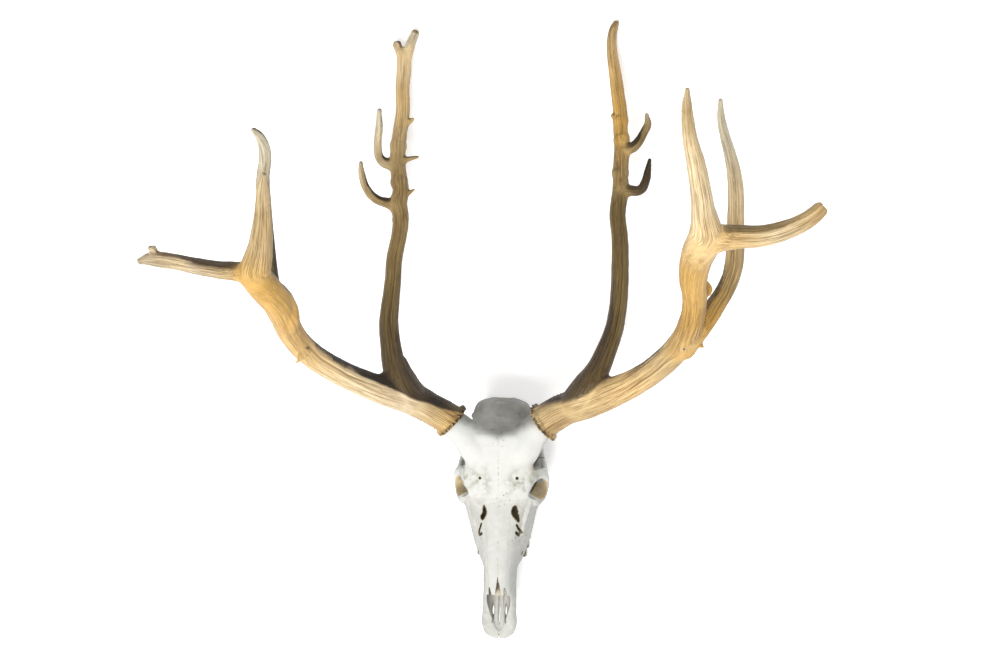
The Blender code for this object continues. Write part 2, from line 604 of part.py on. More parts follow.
def part_bones(skull, cutters):
    """Take the skull apart at its main seams, each a hair wide."""
    made = []
    rest = skull
    for side, sign in (("left", -1), ("right", 1)):
        def cheek(grow, sign=sign):
            low, high = CHEEK_BOX
            xs = sorted((sign * (low[0] - grow), sign * high[0]))
            return box("cheek", (xs[0], low[1] - grow, low[2] - grow), (xs[1], high[1] + grow, high[2] + grow),
                       cutters)
        piece, rest = take_off(rest, f"cheekbone_{side}", cheek, cutters)
        made.append(piece)

    roof = eased([(row[0], row[1][1]) for row in OUTLINE], 6)

    def nasal_strip(grow):
        rings = []
        for y, half_width in NASALS:
            low = np.interp(y, roof[:, 0], roof[:, 1]) - NASAL_DEPTH - grow
            half_width = half_width + grow
            rings.append([(-half_width, y, low), (half_width, y, low), (half_width, y, low + 30),
                          (-half_width, y, low + 30)])
        rings[0] = [(x, y - grow, z) for x, y, z in rings[0]]
        rings[-1] = [(x, y + grow, z) for x, y, z in rings[-1]]
        return loft("nasal_strip", rings, cutters)
    nasals, rest = take_off(rest, "nasal_bone", nasal_strip, cutters)
    made += halves(nasals, "nasal_bone", cutters)
    snout, rest = take_off(rest, "premaxilla", seam_side(SNOUT_SEAM, True, cutters), cutters)
    made += halves(snout, "premaxilla", cutters)
    face, rest = take_off(rest, "maxilla", seam_side(BROW_SEAM, True, cutters), cutters)
    made += halves(face, "maxilla_with_teeth", cutters)

    def crown(grow):
        rings = []
        for y, half_width in CROWN_WIDTH:
            w = half_width + grow
            low = CROWN_DROP + grow
            rings.append([(-w, y, 180), (-w, y, low), (-95, y, low), (-95, y, -10), (95, y, -10), (95, y, low),
                          (w, y, low), (w, y, 180)])
        back = loft("crown", rings, cutters)
        return combine(back, seam_side(CROWN_SEAM, False, cutters)(grow), "INTERSECT")
    back, rest = take_off(rest, "braincase", crown, cutters)
    made.append(back)
    made += halves(rest, "frontal_bone", cutters)
    return made


def main():
    clear_scene()
    pieces = new_collection("deer_skull_with_antlers")
    cutters = new_collection("cutters")
    made = part_bones(make_skull(cutters), cutters)
    bones = [thing.name for thing in made]
    for side in ("left", "right"):
        made += make_antler(side, cutters)
    rest = bpy.data.objects.new("rest", None)
    pieces.objects.link(rest)
    rest.rotation_euler = (math.radians(-REST_TILT), 0, 0)
    rest.location = Vector(REST_SHIFT) * MM
    for thing in made:
        cutters.objects.unlink(thing)
        pieces.objects.link(thing)
        tidy(thing)
        thing.data.materials.clear()
        if thing.name in bones:
            finish = bone_material(f"{thing.name}_bone", (0.80, 0.79, 0.75), 0.75)
        else:
            finish = bone_material(f"{thing.name}_antler", (0.55, 0.38, 0.20), 0.75)
        thing.data.materials.append(finish)
        thing.parent = rest


main()
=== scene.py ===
"""Deer skull with antlers, dressed: bleached bone, worn teeth and two weathered antlers."""
import math

import bmesh
import bpy
import numpy as np
from mathutils import Euler, Matrix, Vector, kdtree, noise
from mathutils.bvhtree import BVHTree


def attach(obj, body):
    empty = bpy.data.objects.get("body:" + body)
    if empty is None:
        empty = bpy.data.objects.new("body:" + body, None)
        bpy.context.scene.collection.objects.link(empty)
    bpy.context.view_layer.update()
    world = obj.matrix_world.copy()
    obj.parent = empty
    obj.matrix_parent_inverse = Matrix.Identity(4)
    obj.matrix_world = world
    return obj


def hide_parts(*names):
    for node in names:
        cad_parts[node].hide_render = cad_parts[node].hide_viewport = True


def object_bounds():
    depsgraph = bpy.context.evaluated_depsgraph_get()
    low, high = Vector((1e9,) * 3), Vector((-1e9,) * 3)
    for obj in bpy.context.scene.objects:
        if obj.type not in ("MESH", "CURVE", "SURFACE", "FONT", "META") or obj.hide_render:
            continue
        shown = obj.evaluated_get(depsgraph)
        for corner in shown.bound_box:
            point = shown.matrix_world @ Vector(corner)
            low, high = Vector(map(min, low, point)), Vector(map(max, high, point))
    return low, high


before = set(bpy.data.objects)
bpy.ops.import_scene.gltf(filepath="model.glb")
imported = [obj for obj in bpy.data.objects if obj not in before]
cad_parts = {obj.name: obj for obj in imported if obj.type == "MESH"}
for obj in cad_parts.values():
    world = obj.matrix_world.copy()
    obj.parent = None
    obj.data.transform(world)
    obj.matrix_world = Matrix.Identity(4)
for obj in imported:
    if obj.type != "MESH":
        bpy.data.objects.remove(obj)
solid_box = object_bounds()

# ---------------------------------------------------------------- the place where it lies
# The skull lies on a wide pale floor under soft studio light, tipped back on its hind tines and on the
# bony processes beside the neck joint.  The camera looks down on it, square to the face.  Everything
# below is shaped in the skull's own frame, in millimetres: the nose tip at y 0, the teeth's plane at z 0.
MM = 0.001
LYING = Matrix.Translation((0.0035, -0.510, 0.04795)) @ Matrix.Rotation(math.radians(-9.9), 4, "X")

bpy.ops.object.select_all(action="DESELECT")
bpy.ops.mesh.primitive_plane_add(size=14, location=(0, 0, -0.0004))
floor = bpy.context.object
floor.name = "floor"
paint = bpy.data.materials.new("floor_paint")
paint.use_nodes = True
pale_matt = {"Base Color": (0.96, 0.96, 0.96, 1), "Roughness": 0.9, "Specular IOR Level": 0.1,
             "Emission Color": (1, 1, 1, 1), "Emission Strength": 0.28}
for socket, value in pale_matt.items():
    paint.node_tree.nodes["Principled BSDF"].inputs[socket].default_value = value
floor.data.materials.append(paint)


def soft_box(name, place, aim, power, tint, width=4.0):
    """A square studio light, with its place and aim in metres."""
    lamp = bpy.data.lights.new(name, "AREA")
    lamp.shape = "SQUARE"
    lamp.size = width
    lamp.energy = power
    lamp.color = tint
    stand = bpy.data.objects.new(name, lamp)
    bpy.context.scene.collection.objects.link(stand)
    stand.location = place
    stand.rotation_mode = "QUATERNION"
    stand.rotation_quaternion = (Vector(aim) - Vector(place)).to_track_quat("-Z", "Y")


soft_box("key_light", (-1.4, -3.6, 4.9), (0, 0, 0.1), 440, (1.0, 0.99, 0.97))
soft_box("fill_light", (1.0, 3.4, 4.6), (0, 0.1, 0.1), 110, (1.0, 1.0, 1.0))
sky = bpy.data.worlds.new("studio")
sky.use_nodes = True
sky.node_tree.nodes["Background"].inputs["Color"].default_value = (1, 1, 1, 1)
sky.node_tree.nodes["Background"].inputs["Strength"].default_value = 0.46
bpy.context.scene.world = sky
bpy.context.scene.view_settings.view_transform = "Standard"

# The camera looks straight down the skull's own Z, but for a small swing to the side and a small roll.
swing = math.radians(5.7)
roll = math.radians(1.9)
back = Vector((math.sin(swing), 0, math.cos(swing)))
across = Vector((math.cos(swing), 0, -math.sin(swing)))
upward = back.cross(across)
right = math.cos(roll) * across + math.sin(roll) * upward
up = math.cos(roll) * upward - math.sin(roll) * across
eye = Vector((313.8, 507.2, 3304.2)) * MM
lens = bpy.data.cameras.new("camera")
lens.sensor_width = 36
lens.lens = 72
lens.clip_end = 50
camera = bpy.data.objects.new("camera", lens)
bpy.context.scene.collection.objects.link(camera)
turned = Matrix((right, up, back)).transposed()
camera.matrix_world = LYING @ Matrix.Translation(eye) @ turned.to_4x4()
bpy.context.scene.camera = camera

# ---------------------------------------------------------------- the skull before it is parted
# Deer skull bone is thin plates that grow into one shell.  Here it is grown as one body: the long core of
# face and braincase, the bars of cheek and orbit, the stumps that carry the antlers.  Each row of the
# core is one station: distance from the nose tip, then half an outline from the roof's middle round to
# the base's middle as (x, z).
CORE = (
    (2, (0, 11), (7, 11), (10, 10.5), (12, 9), (11, 7.5), (7, 7), (0, 7)),
    (11, (0, 14), (13, 14.5), (20, 13.5), (24, 11), (22, 8), (14, 7), (0, 8)),
    (28, (0, 17), (14, 18), (24, 17), (29.5, 13), (27, 9), (16, 8), (0, 9)),
    (48, (0, 26), (14, 26), (22, 24), (28, 17), (26, 10), (16, 10), (0, 10)),
    (68, (0, 40), (13, 40), (21, 36), (27.5, 22), (25, 12), (15, 11), (0, 11)),
    (78, (0, 55), (12, 53), (21, 44), (27.5, 24), (25, 12), (15, 11), (0, 12)),
    (88, (0, 67), (11, 64), (20, 54), (27, 26), (24, 13), (14, 12), (0, 13)),
    (106, (0, 72), (12, 70), (20, 60), (27.5, 27), (24, 13), (14, 13), (0, 14)),
    (123, (0, 77), (14, 74), (21, 63), (28, 28), (26, 14), (15, 13), (0, 15)),
    (140, (0, 81), (15, 78), (24, 65), (35, 29), (35, 15), (25, 14), (0, 19)),
    (163, (0, 87), (16, 84), (27, 71), (43.5, 31), (41, 14), (28, 14), (0, 22)),
    (190, (0, 93), (18, 89), (32, 77), (51, 36), (45, 14), (29, 14), (0, 23)),
    (215, (0, 99), (22, 95), (39, 85), (57, 46), (48, 15), (30, 15), (0, 23)),
    (236, (0, 105), (28, 102), (48, 93), (61, 54), (49, 19), (29, 19), (0, 26)),
    (254, (0, 111), (34, 109), (54, 100), (55, 64), (44, 26), (27, 28), (0, 36)),
    (275, (0, 118), (38, 116), (57, 106), (48, 74), (35, 42), (21, 39), (0, 41)),
    (298, (0, 125), (38, 123), (54, 112), (43, 82), (34, 50), (22, 42), (0, 42)),
    (322, (0, 133), (37, 131), (53, 119), (43, 85), (36, 55), (24, 43), (0, 42)),
    (341, (0, 138), (38, 137), (54, 121), (46, 86), (40, 55), (25, 42), (0, 41)),
    (350, (0, 134), (32, 131), (48, 113), (47, 84), (41, 55), (26, 42), (0, 41)),
    (364, (0, 121), (29, 117), (44, 101), (48, 79), (42, 54), (26, 41), (0, 40)),
    (383, (0, 105), (28, 101), (42, 89), (46, 71), (40, 52), (26, 42), (0, 41)),
    (395, (0, 93), (24, 91), (36, 82), (39, 66), (34, 52), (20, 45), (0, 44)),
    (402, (0, 80), (13, 79), (20, 73), (22, 62), (18, 54), (11, 50), (0, 50)),
)
fine = 1.15        # grain of the bone's mesh, mm


def only(thing):
    """Select one thing and nothing else."""
    bpy.ops.object.select_all(action="DESELECT")
    thing.select_set(True)
    bpy.context.view_layer.objects.active = thing
    return thing


def work(thing, kind, **settings):
    """Give a thing one modifier and apply it."""
    step = thing.modifiers.new("step", kind)
    for name, value in settings.items():
        setattr(step, name, value)
    only(thing)
    bpy.ops.object.modifier_apply(modifier=step.name)
    return thing


def shape_from(name, fill):
    """A new mesh object that fill(bm) builds."""
    bm = bmesh.new()
    fill(bm)
    mesh = bpy.data.meshes.new(name)
    bm.to_mesh(mesh)
    bm.free()
    made = bpy.data.objects.new(name, mesh)
    bpy.context.scene.collection.objects.link(made)
    return made


def eased(rows, steps):
    """A smooth line through the rows, with the given number of steps between each two of them."""
    rows = np.array(rows, float)
    ends = np.vstack([2 * rows[0] - rows[1], rows, 2 * rows[-1] - rows[-2]])
    out = []
    for i in range(len(rows) - 1):
        a, b, c, d = ends[i:i + 4]
        for t in np.arange(steps) / steps:
            out.append(0.5 * (2 * b + (c - a) * t + (2 * a - 5 * b + 4 * c - d) * t ** 2
                              + (3 * b - a - 3 * c + d) * t ** 3))
    out.append(rows[-1])
    return np.array(out)


def skinned(name, rings):
    """Skin a row of equal rings of points, with both ends closed."""
    def fill(bm):
        rows = [[bm.verts.new([v * MM for v in p]) for p in ring] for ring in rings]
        count = len(rows[0])
        for low, high in zip(rows, rows[1:]):
            for i in range(count):
                j = (i + 1) % count
                bm.faces.new((low[i], low[j], high[j], high[i]))
        bm.faces.new(rows[0][::-1])
        bm.faces.new(rows[-1])
        bmesh.ops.recalc_face_normals(bm, faces=bm.faces)
    return shape_from(name, fill)


def lump(centre, radii, turn=(0, 0, 0), segments=40):
    """A rounded lump or hollow: an oval ball, turned in degrees."""
    bpy.ops.mesh.primitive_uv_sphere_add(segments=segments, ring_count=segments * 2 // 3, radius=1)
    made = bpy.context.object
    turned = Euler([math.radians(a) for a in turn]).to_quaternion()
    made.data.transform(Matrix.LocRotScale(Vector(centre) * MM, turned, Vector(radii) * MM))
    return made


def bar(stations, loop=False):
    """A round bar of bone or antler through stations (x, y, z, radius), with rounded ends."""
    line = bpy.data.curves.new("bar", "CURVE")
    line.dimensions = "3D"
    line.bevel_depth = MM
    line.bevel_resolution = 8
    line.resolution_u = 12
    line.use_fill_caps = not loop
    spline = line.splines.new("BEZIER")
    spline.bezier_points.add(len(stations) - 1)
    spline.use_cyclic_u = loop
    spline.radius_interpolation = "CARDINAL"
    for point, (x, y, z, radius) in zip(spline.bezier_points, stations):
        point.co = Vector((x, y, z)) * MM
        point.radius = radius
        point.handle_left_type = "AUTO"
        point.handle_right_type = "AUTO"
    made = bpy.data.objects.new("bar", line)
    bpy.context.scene.collection.objects.link(made)
    only(made)
    bpy.ops.object.convert(target="MESH")
    made = bpy.context.object
    bm = bmesh.new()
    bm.from_mesh(made.data)
    bmesh.ops.remove_doubles(bm, verts=bm.verts, dist=1e-6)
    bm.to_mesh(made.data)
    bm.free()
    ends = [] if loop else [lump(s[:3], (s[3] * 0.99,) * 3, segments=24) for s in (stations[0], stations[-1])]
    return [made] + ends


def joined(name, things):
    """Join things into the first of them, without merging their surfaces."""
    only(things[0])
    for thing in things[1:]:
        thing.select_set(True)
    bpy.ops.object.join()
    things[0].name = name
    return things[0]


def grown(thing, grain, rounds):
    """Let overlapping shapes grow into one skin of the given grain, then ease it."""
    work(thing, "REMESH", mode="VOXEL", voxel_size=grain * MM)
    return work(thing, "SMOOTH", factor=0.5, iterations=rounds)


def cut(thing, tool, operation="DIFFERENCE"):
    """Cut one thing with another, which is used up."""
    work(thing, "BOOLEAN", operation=operation, solver="MANIFOLD", object=tool)
    bpy.data.objects.remove(tool, do_unlink=True)
    return thing


def slab(centre, facing, radius, thickness, sides=48):
    """A round disc that faces a way, used as a saw or a flat seat."""
    turned = Vector((0, 0, 1)).rotation_difference(Vector(facing).normalized())
    bpy.ops.mesh.primitive_cylinder_add(vertices=sides, radius=radius * MM, depth=thickness * MM)
    made = bpy.context.object
    made.data.transform(Matrix.Translation(Vector(centre) * MM) @ turned.to_matrix().to_4x4())
    return made


def both(stations):
    """The same stations for the viewer's right and left."""
    return ((1, stations), (-1, [(-x, y, z, r) for x, y, z, r in stations]))


def numbers(thing, what="co"):
    """The places or normals of a mesh's corners as an array, places in mm."""
    out = np.empty(len(thing.data.vertices) * 3, np.float32)
    if what == "co":
        thing.data.vertices.foreach_get("co", out)
        return out.reshape(-1, 3).astype(float) / MM
    thing.data.vertex_normals.foreach_get("vector", out)
    return out.reshape(-1, 3).astype(float)


def place_at(thing, places):
    thing.data.vertices.foreach_set("co", (places * MM).astype(np.float32).ravel())
    thing.data.update()


def rise(value, low, high):
    """0 below low, 1 above high, smooth between."""
    t = np.clip((value - low) / (high - low), 0, 1)
    return t * t * (3 - 2 * t)


def ripple(places, size, seed=0.0):
    """Smooth noise from -1 to 1 at each place, with lumps of about the given size in mm."""
    return np.array([noise.noise(p) for p in (places / size + seed).tolist()])


def soften(thing, share, rounds):
    """Ease only the part of a surface where share is above nothing."""
    group = thing.vertex_groups.new(name="soft")
    for i in np.nonzero(share > 0.02)[0]:
        group.add([int(i)], float(share[i]), "REPLACE")
    work(thing, "SMOOTH", factor=0.5, iterations=rounds, vertex_group="soft")
    thing.vertex_groups.clear()


def near(places, line, reach):
    """How far each place is from a line of points, at most reach; lines are dense."""
    tree = kdtree.KDTree(len(line))
    for i, p in enumerate(line):
        tree.insert(p, i)
    tree.balance()
    low, high = np.min(line, 0) - reach, np.max(line, 0) + reach
    out = np.full(len(places), reach, float)
    inside = np.all((places > low) & (places < high), 1)
    for i in np.nonzero(inside)[0]:
        out[i] = min(reach, tree.find(places[i])[2])
    return out


half = eased([[row[0]] + [v for pair in row[1:] for v in pair] for row in CORE], 6)
rings = []
for row in half:
    side = row[1:].reshape(-1, 2)
    loop = np.vstack([side, side[-2:0:-1] * (-1, 1)])
    ring = eased(np.vstack([loop[-1:], loop, loop[:2]]), 8)[8:8 + len(loop) * 8]
    rings.append([(x, row[0], z) for x, z in ring])
grow = [skinned("skull", rings)]

stumps = {-1: ((-20, 304, 88, 32), (-40, 328, 108, 29.5), (-60, 349, 119, 24.5), (-88, 371, 130, 22.5)),
          1: ((20, 304, 88, 32), (39, 329, 108, 30), (57, 354, 121, 25.5), (84, 377, 131, 23.5))}
postorbital_bar = ((46, 279, 105, 7.5), (56, 282, 92, 7), (63.5, 284, 77, 6), (68, 286, 60, 5))
cheek_top = ((52, 226, 50, 8), (64, 246, 50, 6.5), (69.5, 265, 51, 5), (69.5, 284, 51, 4.6),
             (65.5, 305, 49, 4), (60, 324, 50, 4.4), (46, 342, 56, 7))
cheek_low = ((52, 226, 41, 8), (64, 246, 41, 6), (70, 265, 41, 4.6), (70, 284, 42, 4.2),
             (65.5, 305, 41, 3.8), (60, 324, 43, 4.2), (46, 342, 47, 7))
tear_ridge = ((52, 238, 93, 3.4), (46, 216, 82.5, 2.8), (41, 197, 72.5, 2.2), (38, 180, 65, 1.6))
neck_process = ((38, 370, 62, 9), (38, 378, 46, 8), (36.5, 383, 30, 5.5), (36, 385, 22.4, 3.6))
neck_crest = ((0, 396, 92, 5), (15, 394, 90, 4.4), (30, 388, 82, 4.6), (40, 380, 70, 5))
palate_bar = ((4.4, 24, 11.5, 2.6), (4.6, 45, 13, 2.7), (4.2, 66, 15, 2.8), (3, 84, 20, 3))
# Swellings of one side: (x, y, z, radii, sideways lean in degrees).
swellings = (
    (57, 237, 70, (11, 9, 20), 0),        # the orbit's front corner
    (53, 308, 46, (14, 30, 6), 0),        # the rear of the cheek arch
    (15, 391, 53, (11, 12, 12), 0),       # the knob of the neck joint
    (25, 356, 36, (9, 15, 11), 0),        # the ear capsule
    (17, 289, 34, (3.6, 26, 15), 0),      # the thin wing beside the throat
    (46, 275, 102, (13, 27, 8), 18),      # the brow over the orbit
    (57, 255, 49, (15, 23, 8), 0),        # the floor of the orbit
    (44, 349, 62, (9, 22, 14), 0),        # the root of the cheek arch
    (45, 372, 66, (7, 6, 6), 0))          # the corner of the nape
orbit = Vector((63, 260, 75))
orbit_radius = 24.5
rim_radius = 4.4
orbit_lean = math.radians(23)
orbit_turn = math.radians(-9)
rim_back = Vector((-math.sin(orbit_turn), math.cos(orbit_turn), 0))
rim_up = Vector((-math.sin(orbit_lean) * math.cos(orbit_turn), -math.sin(orbit_lean) * math.sin(orbit_turn),
                 math.cos(orbit_lean)))
for sign in (-1, 1):
    grow += bar(stumps[sign])
    rim = []
    for i in range(14):
        angle = 2 * math.pi * i / 14
        out = math.cos(angle) * rim_back + 1.05 * math.sin(angle) * rim_up
        thick = rim_radius + 3.0 * abs(math.cos(angle)) ** 1.4
        place = orbit + (orbit_radius + rim_radius - thick) * out
        rim.append((sign * place.x, place.y, place.z, thick))
    grow += bar(rim, loop=True)
    grow += bar([(sign * x, y, z, radius) for x, y, z, radius in postorbital_bar])
    grow += [lump((sign * x, y, z), radii, (0, sign * lean, 0)) for x, y, z, radii, lean in swellings]
for stations in (cheek_top, cheek_low, tear_ridge, neck_process, neck_crest):
    for sign, line in both(stations):
        grow += bar(line)
skull = grown(joined("skull", grow), 1.5, 3)


def shaft(outline, top, low, shrink=1.0, drift=(0, 0), rough=0.0):
    """A shaft to cut an opening with: an outline of (x, y) points, from a top height down to a low one."""
    loop = eased(list(outline[-1:]) + list(outline) + list(outline[:2]), 5)[5:5 + len(outline) * 5]
    loop = loop + np.array([noise.noise_vector((p[0] / 1.7, p[1] / 1.7, top))[:2] for p in loop]) * rough
    middle = loop.mean(0)
    rings = []
    for share in np.linspace(0, 1, 9):
        spread = middle + (loop - middle) * (1 + (shrink - 1) * share) + np.array(drift) * share
        rings.append([(x, y, top + (low - top) * share) for x, y in spread])
    return skinned("shaft", rings)


# Every opening so far: (its walls, their corners, how dark its painted shade is, how far from them that shade
# spreads).
hollows = []


def walls_of(tool):
    """The skin of a cutting tool, kept so that the walls it leaves can be found again."""
    return BVHTree.FromPolygons([v.co for v in tool.data.vertices], [p.vertices for p in tool.data.polygons])


def opened(tool, dark, slack=0.9):
    """Cut an opening with a tool, and remember its walls so that painted shade can be laid on them."""
    hollows.append((walls_of(tool), numbers(tool), dark, slack))
    cut(skull, tool)


# The large openings: the orbits, the bays of the brow above them, the nose, the neck and the throat.
eye_hole = ((67, 257, 75), (21.5, 16, 25), (0, 66, -9))
bay_of_brow = ((49, 250, 0), (53, 258, 0.5), (57.5, 264.5, 1), (62.5, 270.5, 1), (67.5, 275, 1),
               (76, 275.5, 0), (80, 262, 0), (76, 244, 0), (61, 241, 0), (54, 242.5, 0), (49.5, 246, 0))
bay_reach = {-1: -4, 1: 3}                # the two bays differ: how much further back each one's rim lies, mm
for sign in (-1, 1):
    (x, y, z), radii, (_, lean, turn) = eye_hole
    cut(skull, lump((sign * x, y, z), radii, (0, sign * lean, sign * turn)))
    outline = [(sign * x, y + share * bay_reach[sign]) for x, y, share in bay_of_brow]
    cut(skull, shaft(outline, 130, 87))
    opened(lump((sign * 53, 309, 70), (8, 17, 26)), 0.15, 1.6)
# The nose's opening by stations: distance from the nose tip, half width, floor and roof.
nose_stations = (
    (15, 3, 13, 60), (20, 9, 12.5, 70), (28, 13.2, 12.4, 90), (45, 16.8, 12.6, 90), (62, 19.6, 13, 90),
    (72, 19.8, 14, 90), (77, 19, 14, 84), (80, 18, 14, 52), (88, 15.4, 15, 57), (100, 13.8, 16, 62),
    (122, 13, 18, 66), (142, 11, 22, 68), (152, 6, 34, 60))
nose = []
for y, wide, low, high in eased(nose_stations, 4):
    ring = []
    for angle in np.arange(32) * math.pi / 16:
        c, s = math.cos(angle), math.sin(angle)
        ring.append((wide * math.copysign(abs(c) ** 0.75, c), y,
                     (low + high) / 2 + (high - low) / 2 * math.copysign(abs(s) ** 0.6, s)))
    nose.append(ring)
opened(skinned("nose", nose), 1.0, 1.4)
nose_walls = hollows[-1][1]
opened(lump((0, 408, 66), (12.5, 20, 12)), 1.0, 1.4)
opened(lump((0, 287, 30), (12, 30, 13)), 0.5, 1.4)
# Inside the nose: the upright plate of its middle, and the scroll bones of each side.
inside = [lump((0, 112, 28), (2.0, 44, 13)), lump((0, 128, 50), (1.6, 30, 20))]
for sign, line in both(palate_bar):
    inside += bar(line)
    inside += [lump((sign * 7.6, 116, 45), (4.6, 33, 13)), lump((sign * 6.4, 98, 55), (4.2, 17, 5)),
               lump((sign * 9.8, 104, 32), (3.4, 26, 8))]
skull = joined("skull", [skull] + inside)
grown(skull, fine, 2)
# Each burr: the middle of the antler's foot, the way it faces, its radius, and how far its knobs stand out.
burr = {-1: ((-73, 361, 126), Vector((-0.74, 0.64, 0.20)).normalized(), 26.5, 4.2),
        1: ((67, 365, 126), Vector((0.79, 0.58, 0.20)).normalized(), 28.5, 4.4)}
parting = 0.3                             # clear space between a stump and its antler, mm
saw = 80                                  # thickness of the disc that trims a stump, mm
for sign in (-1, 1):
    centre, facing = Vector(burr[sign][0]), burr[sign][1]
    cut(skull, slab(centre + facing * (saw / 2 - parting), facing, 52, saw))
# The forehead is smooth from the brows back to the nape, out to the stumps.
x, y, z = numbers(skull).T
forehead = (rise(y, 238, 262) * (1 - rise(y, 368, 382)) * rise(z, 84 + 12 * (y < 290), 100)
            * (1 - rise(np.abs(x), 52 + 8 * rise(y, 280, 300), 66)))
soften(skull, forehead, 57)

# The small openings keep their thin, sharp or broken edges.  Gaps lie beside the nasal bones, slits below
# them in the cheek, and both differ from left to right.
gaps = {-1: ((-26, 230.5), (-22.4, 226), (-21, 218), (-23.7, 210), (-28.7, 202.6), (-32, 204.5), (-32.8, 210),
             (-29, 217)),
        1: ((30.5, 232.5), (27.0, 229), (23.8, 222), (26, 213.5), (32, 206), (38, 199.5), (39.4, 205),
            (36.6, 217), (34.2, 227))}
slits = {-1: ((-29.8, 200), (-33.9, 190.5), (-36.7, 183.5), (-37.4, 177.6), (-34, 174.9), (-27.8, 179.8),
              (-28.6, 182.8), (-32.4, 181), (-32.7, 184.6), (-30.4, 191.6), (-28.0, 199)),
         1: ((32.2, 200), (37.2, 192), (41.8, 185.6), (41.6, 179.6), (35.2, 176.8), (29.4, 183.6),
             (30.4, 187), (35.2, 183.2), (36.6, 184), (36, 186.6), (33.4, 191.4), (30.4, 198.6))}
palate_slot = ((0, 23), (2.4, 12), (3.4, 0), (2.6, -13), (0, -22), (-2.6, -12), (-3.0, 0), (-2.4, 13))
nasal_notch = ((-1, 9), (1.4, 2), (2.4, -8), (0, -12), (-2, -8), (-2, 2))
for sign in (-1, 1):
    opened(shaft(gaps[sign], 130, 78, 0.8, (sign * -5, 0), 1.1), 1.3)
    opened(shaft(slits[sign], 120, 68, 0.85, (sign * -3, 0), 0.5), 1.5, 0.5)
    opened(shaft([(sign * 10.6 + x, 48 + y) for x, y in palate_slot], 19, 7, 0.12, (0, 0), 0.3), 0.3)
    opened(shaft([(sign * 12.6 + x, 84 + y) for x, y in nasal_notch], 90, 40, 1, (0, 0), 0.2), 0.4)
    opened(lump((sign * 35.5, 148, 36), (3, 3.6, 2.2)), 0.9)
    opened(lump((sign * 49, 374, 66), (5, 3, 2.8)), 1.4)
palate_cleft = ((0.6, 57), (1.2, 50), (1.2, 34), (0.5, 27), (-0.2, 34), (-0.2, 50))
nasal_wedge = ((0.6, 112), (1.9, 104), (4.6, 92), (6.2, 80), (5.5, 70), (-3.5, 70), (-4.2, 80), (-2.2, 92),
               (-0.6, 104))
opened(shaft(palate_cleft, 40, 8), 0.9, 0.4)
opened(shaft(nasal_wedge, 100, 58, 1, (0, 0), 0.3), 0.06)
opened(lump((-0.2, 3.4, 9), (1.3, 3.0, 7)), 0.8)
opened(lump((-0.2, 9.5, 15), (1.8, 1.2, 2.6)), 0.3)
# Pits where vessels and nerves came through: (x, y, radius, how dark the painted shade in them is).
pits = ((-29, 273.8, 1.8, 1.6), (30.8, 275.8, 2.0, 1.6), (-1.6, 242, 0.8, 0.3), (4.6, 236, 0.7, 0.3),
        (15, 224.8, 0.7, 0.3), (19.5, 239.6, 0.8, 0.4), (9.6, 247, 1.0, 0.4), (14.4, 250, 0.9, 0.4),
        (3.2, 229, 0.7, 0.2), (11, 231, 0.7, 0.3), (-6.4, 233, 0.7, 0.2), (28.1, 177, 1.2, 0.8),
        (33.6, 170.5, 0.9, 0.5), (23, 172, 0.9, 0.5), (18, 166, 0.7, 0.3), (42.6, 178, 1.1, 0.7),
        (-1.7, 340, 0.8, 0.3), (6.6, 327, 0.7, 0.3), (1.0, 333, 0.7, 0.2), (9, 337, 0.9, 0.3),
        (-8, 331, 0.7, 0.2), (30.6, 379, 1.6, 0.4), (-9.5, 353, 1.3, 0.5), (-24, 264, 0.9, 0.3),
        (-21, 256, 0.8, 0.3), (-34, 283, 0.7, 0.3), (-30, 172, 0.9, 0.5), (27, 258, 0.7, 0.2))
for px, py, size, dark in pits:
    _, spot, out, _ = skull.ray_cast(Vector((px, py, 300)) * MM, Vector((0, 0, -1)))
    size *= 1 if dark > 1.2 else 0.8
    lean = math.degrees(math.atan2(out.x, out.z))
    opened(lump(spot / MM, (size, size * 1.25, size * 1.9), (0, lean, 0), 12), dark, 0.5)

# Sutures that aren't parted are shallow wandering grooves.  Each is a row of points laid on the surface.
sutures = (
    ((31, 234, 101), (41, 226, 88), (51, 222, 72), (57, 229, 55)),
    ((57, 229, 55), (52, 212, 40), (47, 196, 26)),
    ((0, 379, 108), (20, 378, 104), (36, 376, 92), (45, 372, 78), (46, 370, 62)),
    ((0, 352, 130), (0, 366, 119), (0, 379, 108)),
    ((47, 350, 86), (49, 362, 84), (48, 374, 80)),
    ((10, 205, 20), (22, 200, 14), (30, 205, 14)),
    ((28, 120, 30), (24, 112, 50), (19, 108, 62)),
)
lines = []
for suture in sutures:
    for sign in (1, -1):
        track = eased([(sign * x, y, z) for x, y, z in suture], 24)
        track = track + np.stack([ripple(track, 3.0, s + sign) for s in (3, 9, 27)], 1) * 1.6
        for p in track:
            spot = skull.closest_point_on_mesh(Vector(p) * MM)[1]
            lines.append(tuple(Vector(spot) / MM))

# Bone is never quite even: it swells and sinks a little, and each suture is half a millimetre deep.
places, facing = numbers(skull), numbers(skull, "normal")
swell = 0.30 * ripple(places, 16) + 0.14 * ripple(places, 6, 5) + 0.06 * ripple(places, 2.6, 8)
groove = 0.5 * np.exp(-(near(places, lines, 4.0) / 0.9) ** 2)
place_at(skull, places + facing * (swell - groove)[:, None])


# ---------------------------------------------------------------- cheekbones
# Each cheekbone carries the outer half of the orbit's rim and the front of the cheek arch, which ends in
# a slanting suture halfway back.


def copy_of(name, thing):
    """A copy with its own mesh."""
    made = bpy.data.objects.new(name, thing.data.copy())
    bpy.context.scene.collection.objects.link(made)
    return made


